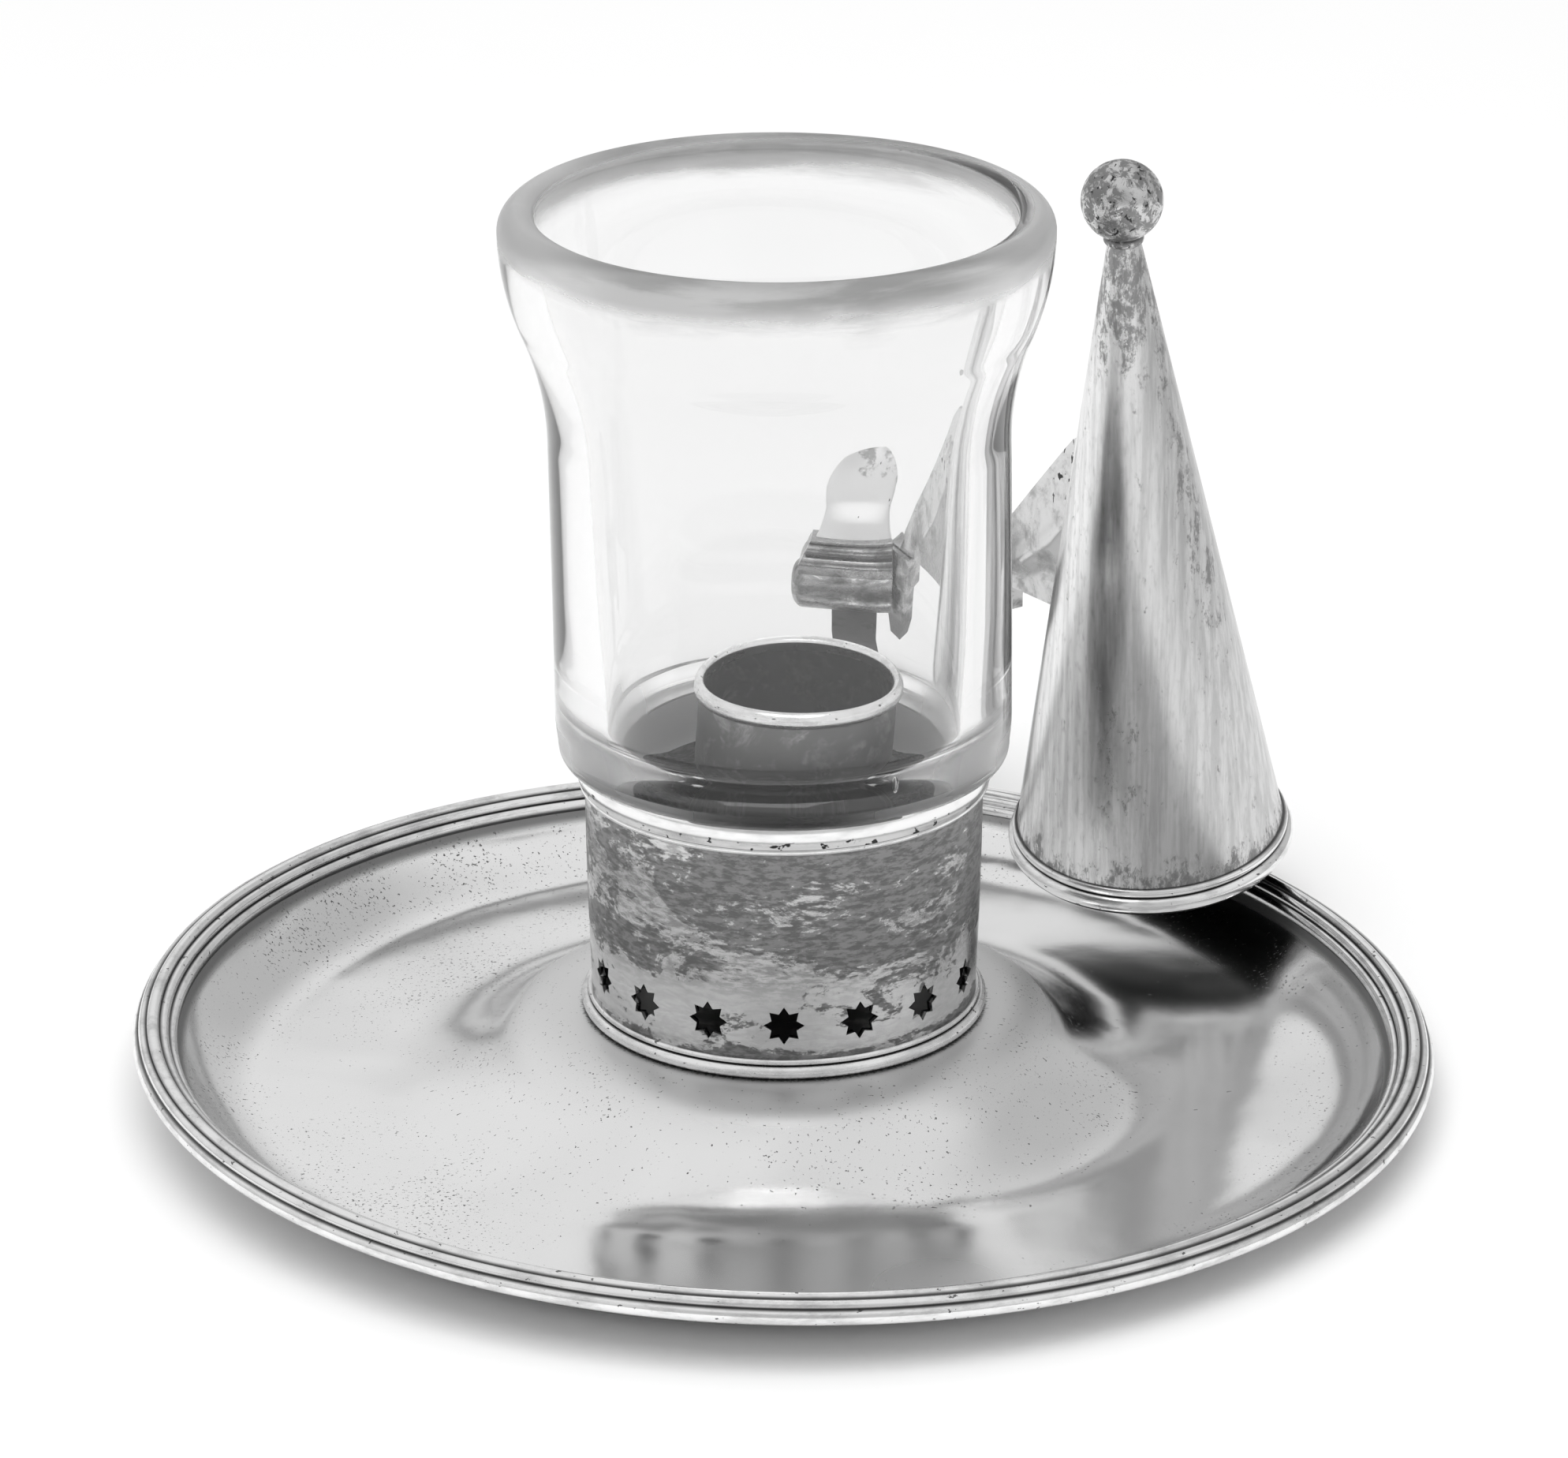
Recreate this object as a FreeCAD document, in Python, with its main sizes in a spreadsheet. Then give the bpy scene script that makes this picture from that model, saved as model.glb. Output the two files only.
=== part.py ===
"""Silver chamberstick with a glass shade and a conical extinguisher, in millimetres.

The axis of the candle socket is Z and the table is z = 0.  +Y runs from the front of the pan to
the finger loop.  The extinguisher hangs from a slot beside the loop, and its cone leans.
Every size is a cell of the Sizes sheet, and each piece is bound to those cells.
"""
import os
import math
import FreeCAD
import Part
import Sketcher
from FreeCAD import Placement, Rotation, Vector

# Driving sizes: lengths in mm, angles in degrees, shares and counts plain.
# A bulge share is how far an arc stands out of its chord, as a share of that chord.
SIZES = {
    # drip pan: boss, floor and wall of one sheet
    "pan_sheet": 0.9,
    "boss_rise": 9.5,
    "boss_ledge_width": 2.0,
    "boss_skirt_width": 22.6,
    "boss_shoulder_share": 0.38,
    "floor_width": 14.0,
    "wall_width": 9.9,
    "wall_rise": 5.5,
    # reeded rim: width and rise of each reed, from the pan's edge outward
    "inner_reed_width": 0.92,
    "inner_reed_rise": 1.15,
    "inner_reed_bulge_share": 0.31,
    "second_reed_width": 1.05,
    "second_reed_rise": 0.8,
    "second_reed_bulge_share": 0.33,
    "crown_reed_width": 1.52,
    "crown_reed_rise": 0.15,
    "crown_reed_bulge_share": 0.385,
    "fourth_reed_width": 0.91,
    "fourth_reed_fall": 0.7,
    "fourth_reed_bulge_share": 0.335,
    "edge_reed_bulge_share": 0.375,
    # pierced gallery
    "gallery_wall": 0.8,
    "gallery_foot_radius": 22.4,
    "gallery_swell": 0.6,
    "gallery_height": 31.1,
    "gallery_mouth_height": 4.3,
    "gallery_swell_gap": 0.1,
    "gallery_bulge_share": 0.0044,
    "star_count": 16,
    "star_rise": 6.4,
    "star_tip_radius": 2.35,
    "star_notch_share": 0.66,
    "foot_wire_height": 1.5,
    "foot_wire_width": 0.8,
    "foot_wire_bulge_share": 0.3,
    "foot_bead_height": 0.7,
    "foot_bead_width": 0.3,
    "foot_bead_bulge_share": 0.33,
    "band_bead_height": 0.8,
    "band_bead_width": 0.45,
    "band_bead_bulge_share": 0.3,
    "band_height": 2.7,
    "band_width": 0.75,
    "band_bulge_share": 0.097,
    # glass shade
    "glass_seat_gap": 0.2,
    "glass_foot_clearance": 0.5,
    "glass_foot_depth": 5.5,
    "glass_seat_width": 3.4,
    "glass_hip_width": 0.85,
    "glass_hip_rise": 1.7,
    "glass_hip_bulge_share": 0.165,
    "glass_barrel_width": 0.32,
    "glass_barrel_rise": 4.1,
    "glass_barrel_bulge_share": 0.02,
    "glass_height": 65.1,
    "glass_lip_width": 4.95,
    "glass_lip_drop": 2.8,
    "glass_flare_rise": 24.5,
    "glass_flare_share": 0.46,
    "glass_crown_width": 1.92,
    "glass_lip_bulge_share": 0.169,
    "glass_crown_bulge_share": 0.07,
    "glass_edge_width": 0.35,
    "glass_edge_drop": 0.5,
    "glass_edge_bulge_share": 0.229,
    "glass_lip_wall": 4.07,
    "glass_mouth_drop": 1.5,
    "glass_barrel_wall": 4.4,
    "glass_bore_flare_rise": 26.8,
    "glass_bore_flare_share": 0.453,
    "glass_bore_taper_angle": 2.06,
    "glass_waist_rise": 6.8,
    "glass_waist_bulge_share": 0.0474,
    "glass_knee_width": 0.59,
    "glass_knee_rise": 4.2,
    "glass_knee_bulge_share": 0.0488,
    "glass_neck_width": 0.75,
    "glass_neck_rise": 0.8,
    "glass_foot_taper": 0.15,
    # candle socket
    "socket_bore_radius": 11.0,
    "socket_wall": 0.55,
    "socket_height": 39.1,
    "socket_depth": 23.5,
    "socket_lip_rise": 0.8,
    "socket_lip_bulge_share": 0.194,
    "socket_crown_width": 0.62,
    "socket_crown_rise": 1.6,
    "socket_crown_bulge_share": 0.159,
    "socket_rim_width": 1.2,
    "socket_rim_rise": 0.6,
    "socket_rim_bulge_share": 0.149,
    "socket_heel_width": 0.75,
    "socket_heel_drop": 0.4,
    "socket_floor_sheet": 0.8,
    "socket_stem_radius": 9.0,
    "socket_stem_wall": 0.8,
    "socket_foot_width": 5.15,
    "socket_foot_height": 0.8,
    "socket_foot_edge": 0.4,
    # handle, in its own upright plane: across is tangential, out is away from the socket
    "handle_azimuth_angle": 9.6,
    "strap_width": 11.0,
    "strap_sheet": 1.6,
    "strap_overlap": 1.6,
    "strap_reach": 12.6,
    "strap_rise": 25.5,
    "roll_offset": 4.1,
    "roll_drop": 0.9,
    "roll_radius": 3.15,
    "roll_left": 11.1,
    "roll_right": 10.5,
    "roll_end_share": 0.7,
    "saddle_share": 0.76,
    "plinth_foot_half": 2.7,
    "plinth_foot_rise": 0.15,
    "plinth_foot_bulge_share": 0.2,
    "plinth_band_rise": 1.15,
    "plinth_band_bulge_share": 0.21,
    "plinth_groove_half": 2.1,
    "plinth_groove_rise": 0.2,
    "plinth_groove_height": 0.45,
    "plinth_reed_half": 2.35,
    "plinth_reed_height": 0.75,
    "plinth_reed_bulge_share": 0.2,
    "plinth_neck_half": 1.9,
    "plinth_neck_rise": 0.15,
    "plinth_top_half": 1.8,
    "plinth_top_rise": 0.5,
    "plinth_top_bulge_share": 0.176,
    "plinth_foot_left": 9.6,
    "plinth_top_left": 7.2,
    "plinth_foot_right": 10.3,
    "plinth_top_right": 9.7,
    "thumb_sheet": 1.2,
    "thumb_lean_angle": 25.0,
    "thumb_base_left": 6.4,
    "thumb_base_right": 9.3,
    "thumb_neck_left": 4.7,
    "thumb_neck_right": 8.4,
    "thumb_neck_height": 3.6,
    "thumb_neck_bulge_share": 0.09,
    "thumb_wide_left": 4.9,
    "thumb_wide_right": 9.3,
    "thumb_wide_height": 7.8,
    "thumb_side_bulge_share": 0.033,
    "thumb_shoulder_left": 1.9,
    "thumb_shoulder_height": 11.6,
    "thumb_shoulder_bulge_share": 0.068,
    "thumb_crown_right": 3.6,
    "thumb_crown_height": 13.1,
    "thumb_crown_bulge_share": 0.0515,
    "thumb_tip_right": 6.4,
    "thumb_tip_height": 12.6,
    "thumb_tip_bulge_share": 0.149,
    "thumb_right_bulge_share": 0.0755,
    # bracket between the loop and the cone, in its own upright plane: along runs to the cone
    "bracket_x": 27.5,
    "bracket_y": 66.5,
    "bracket_angle": -54.0,
    "tongue_left": 8.4,
    "tongue_right": 1.6,
    "tongue_thickness": 3.1,
    "tongue_front": 0.5,
    "tongue_height": 11.2,
    "tongue_bevel": 1.4,
    "tongue_bevel_rise": 2.2,
    "slot_clearance": 0.15,
    "slot_wall": 0.9,
    "slot_height": 4.2,
    "slot_rise": 2.15,
    "bracket_rest_gap": 0.2,
    "wing_sheet": 1.0,
    "wing_foot_left": 5.6,
    "wing_heel_left": 4.1,
    "wing_heel_rise": 2.5,
    "wing_heel_bulge_share": 0.109,
    "wing_bend_along": 13.7,
    "wing_bend_rise": 22.7,
    "wing_top_along": 16.8,
    "wing_top_rise": 24.6,
    "wing_end_along": 29.0,
    # extinguisher, along its own leaning axis
    "cone_x": 45.61,
    "cone_y": 48.5,
    "cone_z": 11.33,
    "cone_lean_x_share": -0.071,
    "cone_lean_y_share": -0.193,
    "cone_radius": 16.92,
    "cone_drop": 0.9,
    "cone_neck_radius": 1.99,
    "cone_length": 82.9,
    "cone_sheet": 0.6,
    "cone_cap": 1.6,
    "base_bead_rise": 1.25,
    "base_bead_width": 0.12,
    "base_bead_bulge_share": 0.313,
    "upper_bead_rise": 1.15,
    "upper_bead_width": 0.1,
    "upper_bead_bulge_share": 0.354,
    "collar_width": 0.11,
    "collar_height": 1.0,
    "collar_bulge_share": 0.321,
    "ball_radius": 4.85,
    "ball_seat_share": 0.42,
    # tools that cut pieces to their neighbours
    "trim_reach": 30.0,
}

# Sizes that follow from others, as formulas of the sheet.
FORMULAS = {
    "boss_top": "=pan_sheet + boss_rise",
    "boss_under": "=boss_rise",
    "boss_flat_radius": "=gallery_foot_radius + boss_ledge_width",
    "boss_skirt_radius": "=boss_flat_radius + boss_skirt_width",
    "shoulder_angle": "=2 * atan(boss_rise / boss_skirt_width)",
    "ogee_radius": "=boss_skirt_width / sin(shoulder_angle)",
    "shoulder_radius": "=ogee_radius * boss_shoulder_share",
    "skirt_radius": "=ogee_radius - shoulder_radius",
    "knee_radius": "=boss_flat_radius + shoulder_radius * sin(shoulder_angle)",
    "knee_height": "=boss_top - shoulder_radius * (1 - cos(shoulder_angle))",
    "shoulder_under_radius": "=shoulder_radius - pan_sheet",
    "skirt_under_radius": "=skirt_radius + pan_sheet",
    "knee_under_radius": "=knee_radius - pan_sheet * sin(shoulder_angle)",
    "knee_under_height": "=knee_height - pan_sheet * cos(shoulder_angle)",
    "wall_start_radius": "=boss_skirt_radius + floor_width",
    "wall_end_radius": "=wall_start_radius + wall_width",
    "wall_end_height": "=pan_sheet + wall_rise",
    "wall_angle": "=2 * atan(wall_rise / wall_width)",
    "wall_radius": "=wall_width / sin(wall_angle)",
    "wall_under_radius": "=wall_radius + pan_sheet",
    "edge_radius": "=wall_end_radius + pan_sheet * sin(wall_angle)",
    "edge_height": "=wall_end_height - pan_sheet * cos(wall_angle)",
    "inner_groove_radius": "=wall_end_radius + inner_reed_width",
    "inner_groove_height": "=wall_end_height + inner_reed_rise",
    "second_groove_radius": "=inner_groove_radius + second_reed_width",
    "second_groove_height": "=inner_groove_height + second_reed_rise",
    "crown_groove_radius": "=second_groove_radius + crown_reed_width",
    "crown_groove_height": "=second_groove_height + crown_reed_rise",
    "edge_groove_radius": "=crown_groove_radius + fourth_reed_width",
    "edge_groove_height": "=crown_groove_height - fourth_reed_fall",
    "gallery_mouth_radius": "=gallery_foot_radius + gallery_swell",
    "gallery_foot_bore": "=gallery_foot_radius - gallery_wall",
    "gallery_mouth_bore": "=gallery_mouth_radius - gallery_wall",
    "gallery_top": "=boss_top + gallery_height",
    "gallery_swell_start": "=foot_bead_top + gallery_swell_gap",
    "gallery_swell_end": "=gallery_top - gallery_mouth_height",
    "star_height": "=boss_top + star_rise",
    "foot_wire_top": "=boss_top + foot_wire_height",
    "foot_wire_edge": "=gallery_foot_radius + foot_wire_width",
    "foot_bead_top": "=foot_wire_top + foot_bead_height",
    "foot_bead_edge": "=gallery_foot_radius + foot_bead_width",
    "band_bottom": "=gallery_top - band_height",
    "band_edge": "=gallery_mouth_radius + band_width",
    "band_bead_bottom": "=band_bottom - band_bead_height",
    "band_bead_edge": "=gallery_mouth_radius + band_bead_width",
    "glass_seat": "=gallery_top + glass_seat_gap",
    "glass_foot_bottom": "=glass_seat - glass_foot_depth",
    "glass_foot_radius": "=gallery_mouth_bore - glass_foot_clearance",
    "glass_seat_radius": "=glass_foot_radius + glass_seat_width",
    "glass_hip_radius": "=glass_seat_radius + glass_hip_width",
    "glass_hip_height": "=glass_seat + glass_hip_rise",
    "glass_barrel_radius": "=glass_hip_radius + glass_barrel_width",
    "glass_barrel_start": "=glass_hip_height + glass_barrel_rise",
    "glass_top": "=glass_seat + glass_height",
    "glass_lip_radius": "=glass_barrel_radius + glass_lip_width",
    "glass_lip_height": "=glass_top - glass_lip_drop",
    "glass_flare_start": "=glass_lip_height - glass_flare_rise",
    "glass_crown_radius": "=glass_lip_radius - glass_crown_width",
    "glass_mouth_radius": "=glass_lip_radius - glass_lip_wall",
    "glass_mouth_height": "=glass_top - glass_mouth_drop",
    "glass_edge_radius": "=glass_mouth_radius + glass_edge_width",
    "glass_edge_height": "=glass_top - glass_edge_drop",
    # flare outside: two tangent arcs from the upright barrel to the upright lip
    "flare_radius": "=(glass_lip_width * glass_lip_width + glass_flare_rise * glass_flare_rise) / "
                    "(2 * glass_lip_width)",
    "flare_high_radius": "=flare_radius * glass_flare_share",
    "flare_low_radius": "=flare_radius - flare_high_radius",
    "flare_join_radius": "=glass_lip_radius - glass_lip_width * glass_flare_share",
    "flare_join_height": "=glass_lip_height - glass_flare_rise * glass_flare_share",
    # flare of the bore: two tangent arcs from the slightly tapered barrel to the upright mouth
    "bore_radius": "=glass_barrel_radius - glass_barrel_wall",
    "bore_flare_start": "=glass_mouth_height - glass_bore_flare_rise",
    "bore_width": "=glass_mouth_radius - bore_radius",
    "bore_high_radius": "=glass_bore_flare_share * (bore_width * bore_width + "
                        "glass_bore_flare_rise * glass_bore_flare_rise) / (2 * bore_width)",
    "bore_span": "=bore_high_radius - bore_width",
    "bore_dot": "=bore_span * cos(glass_bore_taper_angle) + "
                "glass_bore_flare_rise * sin(glass_bore_taper_angle)",
    "bore_low_radius": "=(bore_span * bore_span + glass_bore_flare_rise * glass_bore_flare_rise - "
                       "bore_high_radius * bore_high_radius) / (2 * (bore_high_radius - bore_dot))",
    "bore_join_share": "=bore_high_radius / (bore_high_radius + bore_low_radius)",
    "bore_join_radius": "=glass_mouth_radius - bore_high_radius + bore_join_share * "
                        "(bore_span + bore_low_radius * cos(glass_bore_taper_angle))",
    "bore_join_height": "=glass_mouth_height - bore_join_share * "
                        "(glass_bore_flare_rise + bore_low_radius * sin(glass_bore_taper_angle))",
    "waist_height": "=glass_seat + glass_waist_rise",
    "waist_radius": "=bore_radius - (bore_flare_start - waist_height) * "
                    "tan(glass_bore_taper_angle)",
    "glass_knee_radius": "=waist_radius - glass_knee_width",
    "glass_knee_height": "=glass_seat + glass_knee_rise",
    "glass_neck_radius": "=glass_knee_radius - glass_neck_width",
    "glass_neck_height": "=glass_seat + glass_neck_rise",
    "glass_foot_bore": "=glass_neck_radius - glass_foot_taper",
    "socket_radius": "=socket_bore_radius + socket_wall",
    "socket_tube_top": "=boss_top + socket_height",
    "socket_lip_height": "=socket_tube_top + socket_lip_rise",
    "socket_crown_radius": "=socket_bore_radius + socket_crown_width",
    "socket_crown_height": "=socket_tube_top + socket_crown_rise",
    "socket_rim_radius": "=socket_bore_radius + socket_rim_width",
    "socket_rim_height": "=socket_tube_top + socket_rim_rise",
    "socket_heel_radius": "=socket_bore_radius + socket_heel_width",
    "socket_heel_height": "=socket_tube_top - socket_heel_drop",
    "socket_floor_height": "=socket_tube_top - socket_depth",
    "socket_floor_under": "=socket_floor_height - socket_floor_sheet",
    "socket_stem_bore": "=socket_stem_radius - socket_stem_wall",
    "socket_foot_radius": "=socket_stem_radius + socket_foot_width",
    "socket_foot_top": "=boss_top + socket_foot_height",
    "socket_foot_brim": "=boss_top + socket_foot_edge",
    "strap_start": "=wall_end_radius + strap_overlap",
    "strap_bend_start": "=wall_end_radius + strap_reach",
    "strap_low_top": "=edge_height",
    "strap_low_under": "=edge_height - strap_sheet",
    "strap_top": "=edge_height + strap_rise",
    "strap_top_under": "=strap_top - strap_sheet",
    "strap_bend_outer": "=(strap_top - strap_low_under) / 2",
    "strap_bend_inner": "=strap_bend_outer - strap_sheet",
    "strap_mid": "=(strap_top + strap_low_under) / 2",
    "strap_out": "=strap_bend_start + strap_bend_outer",
    "strap_in": "=strap_bend_start + strap_bend_inner",
    "roll_out": "=wall_end_radius + roll_offset",
    "roll_height": "=strap_top + roll_drop",
    "roll_end_round": "=roll_radius * roll_end_share",
    "roll_shoulder": "=roll_left - roll_end_round",
    "roll_end_radius": "=roll_radius - roll_end_round",
    "saddle_half": "=roll_radius * saddle_share",
    "saddle_height": "=roll_height + sqrt(roll_radius * roll_radius - saddle_half * saddle_half)",
    "plinth_foot_height": "=roll_height + roll_radius + plinth_foot_rise",
    "plinth_band_height": "=plinth_foot_height + plinth_band_rise",
    "plinth_groove_low": "=plinth_band_height + plinth_groove_rise",
    "plinth_groove_high": "=plinth_groove_low + plinth_groove_height",
    "plinth_reed_top": "=plinth_groove_high + plinth_reed_height",
    "plinth_neck_height": "=plinth_reed_top + plinth_neck_rise",
    "plinth_top": "=plinth_neck_height + plinth_top_rise",
    "thumb_foot": "=plinth_top - thumb_sheet / 2 * sin(thumb_lean_angle)",
    "slot_top": "=roll_height + roll_radius + slot_rise",
    "slot_bottom": "=slot_top - slot_height",
    "tongue_top": "=slot_top + bracket_rest_gap",
    "tongue_bottom": "=tongue_top - tongue_height",
    "tongue_middle": "=tongue_thickness / 2 - tongue_front",
    "tongue_bevel_left": "=tongue_left - tongue_bevel",
    "tongue_bevel_right": "=tongue_right + tongue_bevel",
    "tongue_bevel_top": "=tongue_bottom + tongue_bevel_rise",
    "passage_left": "=tongue_left + slot_clearance",
    "passage_length": "=tongue_left - tongue_right + 2 * slot_clearance",
    "passage_face": "=-tongue_front - slot_clearance",
    "passage_width": "=tongue_thickness + 2 * slot_clearance",
    "slot_left": "=passage_left + slot_wall",
    "slot_length": "=passage_length + 2 * slot_wall",
    "slot_face": "=passage_face - slot_wall",
    "slot_width": "=passage_width + 2 * slot_wall",
    "wing_heel_height": "=tongue_top + wing_heel_rise",
    "wing_bend_height": "=tongue_top + wing_bend_rise",
    "wing_top_height": "=tongue_top + wing_top_rise",
    "cone_slope": "=(cone_radius - cone_neck_radius) / cone_length",
    "cone_skin": "=cone_sheet * sqrt(1 + cone_slope * cone_slope)",
    "cone_edge_radius": "=cone_radius + cone_slope * cone_drop",
    "cone_edge_bore": "=cone_edge_radius - cone_skin",
    "cone_cap_under": "=cone_length - cone_cap",
    "cone_cap_bore": "=cone_neck_radius + cone_slope * cone_cap - cone_skin",
    "base_bead_inner": "=cone_radius - cone_slope * base_bead_rise",
    "base_bead_rim": "=cone_edge_radius + base_bead_width",
    "base_bead_crest": "=base_bead_inner + base_bead_width",
    "upper_bead_top": "=base_bead_rise + upper_bead_rise",
    "upper_bead_inner": "=cone_radius - cone_slope * upper_bead_top",
    "upper_bead_rim": "=base_bead_inner + upper_bead_width",
    "upper_bead_crest": "=upper_bead_inner + upper_bead_width",
    "collar_radius": "=cone_neck_radius + collar_width",
    "collar_top": "=cone_length + collar_height",
    "ball_seat_radius": "=ball_radius * ball_seat_share",
    "ball_height": "=collar_top + sqrt(ball_radius * ball_radius - ball_seat_radius * "
                   "ball_seat_radius)",
    "ball_crown": "=ball_height + ball_radius",
}

# Corners of the eight-pointed star, tips and notches in turn.
STAR_POINTS = 8
STAR_CORNERS = 2 * STAR_POINTS
for point in range(STAR_CORNERS):
    reach = "star_tip_radius" if point % 2 == 0 else "star_tip_radius * star_notch_share"
    turn = 360 * point / STAR_CORNERS
    FORMULAS["star_across_%d" % point] = "=%s * sin(%s)" % (reach, turn)
    FORMULAS["star_up_%d" % point] = "=star_height + %s * cos(%s)" % (reach, turn)

doc = FreeCAD.newDocument("chamberstick")
sheet = doc.addObject("Spreadsheet::Sheet", "Sizes")
pieces = []


def fill_sheet():
    """Writes each size and formula into its own named cell."""
    rows = list(SIZES.items()) + list(FORMULAS.items())
    for row, (name, content) in enumerate(rows, start=1):
        sheet.set("A%d" % row, name)
        sheet.set("B%d" % row, str(content))
        sheet.setAlias("B%d" % row, name)
    doc.recompute()


def number(name):
    """The value of one named cell."""
    cell = sheet.get(name)
    return getattr(cell, "Value", cell)


def value(text):
    """The value of a sum of named sizes, written as 'first + second - third'."""
    total = 0.0
    sign = 1.0
    for word in text.split():
        if word in "+-":
            sign = 1.0 if word == "+" else -1.0
        else:
            total += sign * number(word)
    return total


def bound(text):
    """The same sum as an expression on the sheet."""
    return " ".join(word if word in "+-" else "Sizes." + word for word in text.split())


def new_body(label):
    """An empty body that carries one piece."""
    body = doc.addObject("PartDesign::Body", label)
    body.Label = label
    return body


def base_item(body, role):
    """One of the body's own base planes or axes."""
    return [item for item in body.Origin.OriginFeatures if item.Role == role][0]


def new_sketch(body, role):
    """A sketch on one of the body's own base planes."""
    sketch = body.newObject("Sketcher::SketchObject", body.Label + "_sketch")
    sketch.AttachmentSupport = [(base_item(body, role), "")]
    sketch.MapMode = "FlatFace"
    return sketch


def bind(sketch, rule, expression):
    """Adds one constraint and ties it to the sheet."""
    index = sketch.addConstraint(rule)
    name = "size_%d" % index
    sketch.renameConstraint(index, name)
    sketch.setExpression("Constraints." + name, expression)


def place(corner):
    """The point of a corner, from the sheet; 'axis' is zero."""
    across, up = [0.0 if text == "axis" else value(text) for text in corner[:2]]
    return Vector(across, up, 0.0)


def side_text(text):
    """A corner's coordinate as an expression."""
    return "0" if text == "axis" else "(%s)" % bound(text)


def arc_radius(corner, following):
    """Radius of the arc after a corner, as its expression and its value."""
    name = corner[2]
    if not name.endswith("share"):
        return bound(name), value(name)
    spans = ["(%s - %s)" % (side_text(there), side_text(here))
             for here, there in zip(corner[:2], following[:2])]
    share = bound(name)
    text = "sqrt(%s * %s + %s * %s) * (1 / (8 * %s) + %s / 2)" % (
        spans[0], spans[0], spans[1], spans[1], share, share)
    chord = place(following).sub(place(corner)).Length
    return text, chord * (1 / (8 * value(name)) + value(name) / 2)


def arc_between(start, end, radius, side):
    """Arc of a circle; side 1 bulges to the right of the way from start to end, -1 to the left."""
    chord = end.sub(start)
    right = Vector(chord.y, -chord.x, 0.0).normalize()
    depth = math.sqrt(max(0.0, radius * radius - chord.Length * chord.Length / 4))
    centre = start.add(chord.multiply(1 / 2)).sub(right.multiply(side * depth))
    first, last = (start, end) if side > 0 else (end, start)
    angles = [math.atan2(point.y - centre.y, point.x - centre.x) for point in (first, last)]
    return Part.ArcOfCircle(Part.Circle(centre, Vector(0, 0, 1), radius), *angles)


def outline(sketch, corners):
    """Closed outline.  A corner is (x, y) or, before an arc, (x, y, radius, side)."""
    count = len(corners)
    ends = []
    for index, corner in enumerate(corners):
        start = place(corner)
        end = place(corners[(index + 1) % count])
        if len(corner) > 2:
            radius = arc_radius(corner, corners[(index + 1) % count])[1]
            sketch.addGeometry(arc_between(start, end, radius, corner[3]), False)
            ends.append((1, 2) if corner[3] > 0 else (2, 1))
        else:
            sketch.addGeometry(Part.LineSegment(start, end), False)
            ends.append((1, 2))
    for index, corner in enumerate(corners):
        following = (index + 1) % count
        sketch.addConstraint(Sketcher.Constraint(
            "Coincident", index, ends[index][1], following, ends[following][0]))
    for index, corner in enumerate(corners):
        first = ends[index][0]
        for kind, text, axis, found in zip(("DistanceX", "DistanceY"), corner, (-2, -1),
                                           (place(corner).x, place(corner).y)):
            if text == "axis":
                sketch.addConstraint(Sketcher.Constraint("PointOnObject", index, first, axis))
            else:
                bind(sketch, Sketcher.Constraint(kind, -1, 1, index, first, found), bound(text))
        if len(corner) > 2:
            text, radius = arc_radius(corner, corners[(index + 1) % count])
            bind(sketch, Sketcher.Constraint("Radius", index, radius), text)


def keep(piece, label):
    """Names a finished piece and puts it on the list to write."""
    piece.Label = label
    pieces.append(piece)
    return piece


def turned(label, corners, axis="V_Axis"):
    """A body turned from an outline about one axis of its sketch."""
    body = new_body(label)
    sketch = new_sketch(body, "XZ_Plane")
    outline(sketch, corners)
    turn = body.newObject("PartDesign::Revolution", label + "_turn")
    turn.Profile = sketch
    turn.ReferenceAxis = (sketch, [axis])
    turn.Angle = 360
    doc.recompute()
    return body


def plate(label, corners, thickness, role="XZ_Plane"):
    """A body of even thickness, half on each side of its sketch."""
    body = new_body(label)
    sketch = new_sketch(body, role)
    outline(sketch, corners)
    pad = body.newObject("PartDesign::Pad", label + "_pad")
    pad.Profile = sketch
    pad.setExpression("Length", bound(thickness))
    pad.Midplane = True
    doc.recompute()
    return body


def bound_box(label, length, width, height):
    """A plain block with bound sides."""
    block = doc.addObject("Part::Box", label)
    for side, text in (("Length", length), ("Width", width), ("Height", height)):
        block.setExpression(side, bound(text))
    return block


def combined(kind, label, base, tool):
    """One piece from two solids; kind is Part::Cut or Part::Common."""
    result = doc.addObject(kind, label)
    result.Base, result.Tool = base, tool
    doc.recompute()
    return result


def handle_place(out="axis", height="axis", lean="axis"):
    """The handle's frame: X across, Y away from the socket, Z up, with a lean outward."""
    turn = Rotation(Vector(0, 0, 1), -value("handle_azimuth_angle"))
    shift = place((out, height))
    tilt = Rotation(Vector(1, 0, 0), 0.0 if lean == "axis" else -value(lean))
    return Placement(turn.multVec(Vector(0, shift.x, shift.y)), turn.multiply(tilt))


def bracket_place(along="axis", across="axis", height="axis"):
    """The bracket's frame: X toward the cone, Y to its far side, Z up."""
    turn = Rotation(Vector(0, 0, 1), value("bracket_angle"))
    local = Vector(*[0.0 if text == "axis" else value(text) for text in (along, across, height)])
    foot = Vector(value("bracket_x"), value("bracket_y"), 0.0)
    return Placement(foot.add(turn.multVec(local)), turn)


def cone_place(along="axis"):
    """The extinguisher's frame: Z runs up its leaning axis."""
    way = Vector(value("cone_lean_x_share"), value("cone_lean_y_share"), 1).normalize()
    foot = Vector(value("cone_x"), value("cone_y"), value("cone_z"))
    shift = 0.0 if along == "axis" else value(along)
    return Placement(foot.add(Vector(way).multiply(shift)), Rotation(Vector(0, 0, 1), way))


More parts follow.
